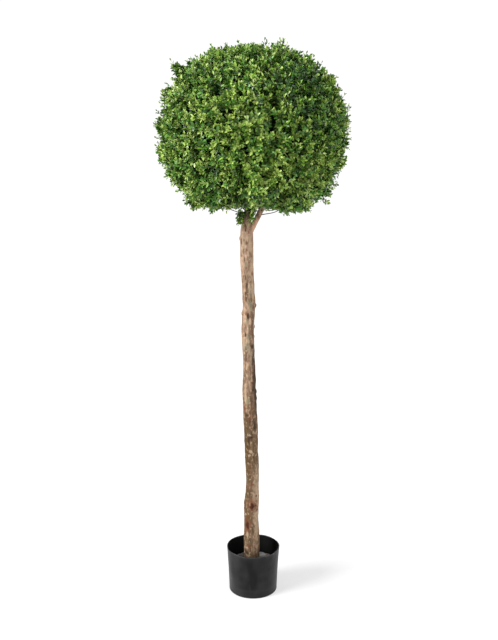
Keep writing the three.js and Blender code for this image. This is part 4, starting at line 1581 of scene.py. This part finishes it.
class BOXWOOD_OT_pot(bpy.types.Operator):
    """Replace the pot by a thin soft shell with a wavy rim"""

    bl_idname = "boxwood.pot"
    bl_label = "Pot"

    # Points round the pot, radii and height of its flat underside, and the flat floor inside it
    SIDES = 160
    UNDERSIDE = ((0.018, 0.0002), (0.045, 0.0002))
    INSIDE_FLOOR = (0.03, 0.004)
    # Heights of the wall's lowest row outside, and how far its highest row inside is below the rim
    WALL_FROM = 0.006
    INSIDE_TOP = 0.003
    # Height, half width and depth of the groove above the foot, and how far the rubbing and painted
    # highlight reach below the rim
    GROOVE = (0.010, 0.0012, 0.0006)
    RIM_HIGHLIGHT_REACH = 0.004
    # Height and half height of the worn line at the foot and of a dark patch of painted shade in front, and
    # its half turn
    FOOT_LINE = (0.022, 0.003)
    SHADE_PATCH = (0.060, 0.028)
    SHADE_PATCH_TURN = 0.16

    def execute(self, context):
        colours = context.scene.boxwood_colours
        wave = context.scene.boxwood_sizes.rim_wave
        outside, rubbed, inside = self.profiles()
        points, triangles, turn = self.shell(outside, wave)
        # The rim's painted highlight and rubbing, patchy round the pot
        patchy = np.clip(0.6 + 0.4 * np.sin(turn * 2 - 2.4) + 0.3 * np.sin(turn * 7), 0.15, 1)
        rubbed = np.clip(rubbed[:, None] * patchy, 0, 1)
        attributes = {
            "rubbed": np.concatenate([rubbed.ravel(), [0]]),
            "worn": self.worn(points),
        }
        finish = pot_finish("pot_plastic", colours)
        build_piece("pot_outside", points, triangles, ["pot"], finish, attributes)
        points, triangles, _ = self.shell(inside, wave)
        # The inside wall in a darker copy of the plastic, as painted shade
        finish = shaded_pot_inside_finish("pot_inside", colours)
        build_piece("pot_inside", points, triangles[:, ::-1], ["pot"], finish)
        return {"FINISHED"}

    def worn(self, points):
        """How pale the plastic is worn at each point: soft patches, with a dark patch of painted shade low
        in front.
        """
        turn = np.arctan2(points[:, 1], points[:, 0])
        height = np.maximum(points[:, 2], 0)
        patches = 0.5 + 0.5 * lattice_noise(turn, height, 14, 0.035, 61)
        patches += 0.3 * lattice_noise(turn, height, 30, 0.014, 62)
        shade_patch = bell(turn, FRONT_TURN, self.SHADE_PATCH_TURN) * bell(height, *self.SHADE_PATCH)
        foot_line = bell(height, *self.FOOT_LINE)
        return np.clip(patches - 0.9 * shade_patch + 0.5 * foot_line, 0, 1)

    def shell(self, profile, rim_wave):
        """One side of the pot from its middle outwards: points, triangles and each column's turn."""
        rows, sides = len(profile), self.SIDES
        turn = turns_round(sides)
        radius, height = (np.repeat(column[:, None], sides, axis=1) for column in profile.T)
        share = np.clip(height / POT_HEIGHT, 0, 1)
        wave = np.sin(3 * turn + 0.6) * 0.1 + np.sin(5 * turn + 2.1) * 0.1 + np.sin(9 * turn + 4.0) * 0.05
        front = np.exp(-2 * (1 + np.sin(turn)))
        oval = 1 + share**3 * (0.004 * np.sin(2 * turn + 0.9) + 0.006 * np.sin(7 * turn + 1.2))
        height = height + share**6 * rim_wave * (1 - 1.15 * front + wave)[None]
        radius = radius * oval
        points = np.stack([radius * np.cos(turn), radius * np.sin(turn), height], axis=-1)
        points = np.concatenate([points.reshape(-1, 3), [(0, 0, profile[0, 1])]])
        triangles = np.concatenate([
            ring_triangles(rows, sides),
            fan_triangles(np.arange(sides), rows * sides, outward=False),
        ])
        return points, triangles, turn

    def profiles(self):
        """Rows of (radius, height) outside and over the rim, how rubbed and highlit they are, and rows
        inside.
        """
        rounding = POT_FOOT_ROUNDING
        rows = list(self.UNDERSIDE)
        for angle in np.linspace(0, math.pi / 2, 9):
            radius = pot_radius(rounding) - rounding * (1 - math.sin(angle))
            rows.append((radius, rounding * (1 - math.cos(angle))))
        groove_height, groove_width, groove_depth = self.GROOVE
        for height in np.linspace(self.WALL_FROM, POT_HEIGHT - POT_WALL, 36):
            groove = groove_depth * bell(height, groove_height, groove_width)
            rows.append((pot_radius(height) - groove, height))
        rim = len(rows)
        lip = POT_WALL / 2
        for angle in np.linspace(0, math.pi, 7):
            radius = POT_RIM_RADIUS - lip * (1 - math.cos(angle))
            rows.append((radius, POT_HEIGHT - lip + lip * math.sin(angle)))
        outside = np.array(rows)
        rubbed = 0.6 * np.exp(-((POT_HEIGHT - outside[:, 1]) / self.RIM_HIGHLIGHT_REACH))
        rubbed[rim:] = 1
        rows = [self.INSIDE_FLOOR]
        for height in np.linspace(self.INSIDE_FLOOR[1], POT_HEIGHT - self.INSIDE_TOP, 30):
            rows.append((pot_radius(height) - POT_WALL, height))
        rows.append((POT_RIM_RADIUS - POT_WALL, POT_HEIGHT - lip))
        return outside, rubbed, np.array(rows)


class BOXWOOD_OT_fill(bpy.types.Operator):
    """Replace the fill by rough cement"""

    bl_idname = "boxwood.fill"
    bl_label = "Fill"

    # Rings of points, points round, and the size of the smallest ring in shares of the largest
    RINGS = 44
    SIDES = 120
    SMALLEST_RING = 0.02
    # How far the surface lies below the trunk's foot, and heights of its lumps and grit
    DROP = 0.0016
    LUMPS = 0.0012
    GRIT = 0.0005

    def execute(self, context):
        low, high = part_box("fill")
        share = np.linspace(self.SMALLEST_RING, 1, self.RINGS)[:, None]
        radius = np.repeat(share * high.x, self.SIDES, axis=1)
        turn = np.broadcast_to(turns_round(self.SIDES), radius.shape)
        lumps = lattice_noise(turn, radius, 9, 0.018, 51)
        grit = lattice_noise(turn, radius, 60, 0.004, 52)
        surface = GROUND - self.DROP + self.LUMPS * lumps + self.GRIT * grit
        top = np.stack([radius * np.cos(turn), radius * np.sin(turn), surface], axis=-1)
        foot_radius = POT_BASE_RADIUS - POT_WALL
        across = foot_radius * np.cos(turn[0])
        away = foot_radius * np.sin(turn[0])
        foot = np.stack([across, away, np.full(self.SIDES, low.z)], axis=-1)
        middles = [(0, 0, GROUND - self.DROP), (0, 0, low.z)]
        points = np.concatenate([top.reshape(-1, 3), foot, middles])
        triangles = tube_triangles(self.RINGS + 1, self.SIDES)[:, ::-1]
        finish = fill_finish("cement", context.scene.boxwood_colours)
        build_piece("cement_fill", points, triangles, ["fill"], finish)
        return {"FINISHED"}


class BOXWOOD_OT_studio(bpy.types.Operator):
    """Set up the pale floor, the soft light and the camera"""

    bl_idname = "boxwood.studio"
    bl_label = "Studio"

    FLOOR_HALF = 14.0
    SENSOR_WIDTH = 36
    VIEW_LIMIT = 60
    LIGHT_PARTS = ("strength", "angle", "azimuth", "elevation")
    # How far up the room gets dimmer, from 0 at the horizon to 1 overhead
    CEILING_FADE = (0.3, 0.8)

    def execute(self, context):
        studio = context.scene.boxwood_studio
        half = self.FLOOR_HALF
        mesh = bpy.data.meshes.new("floor")
        corners = [(-half, -half, 0), (half, -half, 0), (half, half, 0), (-half, half, 0)]
        mesh.from_pydata(corners, [], [(0, 1, 2, 3)])
        mesh.materials.append(floor_finish("floor", studio.floor_colour, studio.floor_glow))
        floor = bpy.data.objects.new("floor", mesh)
        context.scene.collection.objects.link(floor)

        for name in ("key", "side"):
            self.add_light(name, *(getattr(studio, f"{name}_{part}") for part in self.LIGHT_PARTS))

        context.scene.world = self.white_room(studio.room_strength, studio.ceiling_share)
        context.scene.view_settings.view_transform = "Standard"

        camera = bpy.data.cameras.new("camera")
        camera.lens = studio.camera_lens
        camera.sensor_width = self.SENSOR_WIDTH
        camera.clip_end = self.VIEW_LIMIT
        viewer = bpy.data.objects.new("camera", camera)
        viewer.location = studio.camera_place
        viewer.rotation_euler = (math.pi / 2 - studio.camera_pitch, 0, 0)
        context.scene.collection.objects.link(viewer)
        context.scene.camera = viewer
        return {"FINISHED"}

    def add_light(self, name, strength, angle, azimuth, elevation):
        """A soft light from far off: its azimuth is from the front towards the left."""
        light = bpy.data.lights.new(name, "SUN")
        light.energy = strength
        light.angle = angle
        lamp = bpy.data.objects.new(name, light)
        level = math.cos(elevation)
        toward = Vector((-math.sin(azimuth) * level, -math.cos(azimuth) * level, math.sin(elevation)))
        lamp.rotation_euler = toward.to_track_quat("Z", "Y").to_euler()
        bpy.context.scene.collection.objects.link(lamp)

    def white_room(self, strength, ceiling_share):
        """A white room that is dimmer overhead."""
        world = bpy.data.worlds.new("white_room")
        world.use_nodes = True
        room = Nodes(world.node_tree)
        toward = room.node("ShaderNodeTexCoord").outputs["Generated"]
        up = room.node("ShaderNodeSeparateXYZ", None, {"Vector": toward}).outputs["Z"]
        light = room.step(up, *self.CEILING_FADE, strength, strength * ceiling_share)
        background = room.node("ShaderNodeBackground", None, {"Color": (1, 1, 1, 1), "Strength": light})
        room.node("ShaderNodeOutputWorld", None, {"Surface": background.outputs["Background"]})
        return world


OPERATORS = (
    BOXWOOD_OT_studio,
    BOXWOOD_OT_pot,
    BOXWOOD_OT_fill,
    BOXWOOD_OT_bark,
    BOXWOOD_OT_shoots,
    BOXWOOD_OT_foliage,
)


class BOXWOOD_PT_panel(bpy.types.Panel):
    """Steps that dress the plant"""

    bl_idname = "BOXWOOD_PT_panel"
    bl_label = "Boxwood ball"
    bl_space_type = "VIEW_3D"
    bl_region_type = "UI"
    bl_category = "Boxwood"

    def draw(self, context):
        for operator in OPERATORS:
            self.layout.operator(operator.bl_idname)
        for name, group in GROUPS.items():
            for setting in group.__annotations__:
                self.layout.prop(getattr(context.scene, name), setting)


GROUPS = {
    "boxwood_sizes": BoxwoodSizes,
    "boxwood_colours": BoxwoodColours,
    "boxwood_studio": BoxwoodStudio,
}


def register():
    for cls in (*GROUPS.values(), *OPERATORS, BOXWOOD_PT_panel):
        bpy.utils.register_class(cls)
    for name, group in GROUPS.items():
        setattr(bpy.types.Scene, name, PointerProperty(type=group))


def unregister():
    for name in GROUPS:
        delattr(bpy.types.Scene, name)
    for cls in (BOXWOOD_PT_panel, *reversed(OPERATORS), *reversed(list(GROUPS.values()))):
        bpy.utils.unregister_class(cls)


def main():
    register()
    for operator in OPERATORS:
        group, name = operator.bl_idname.split(".")
        if getattr(getattr(bpy.ops, group), name)() != {"FINISHED"}:
            raise RuntimeError(f"{operator.bl_label} didn't finish")


if __name__ == "__main__":
    main()
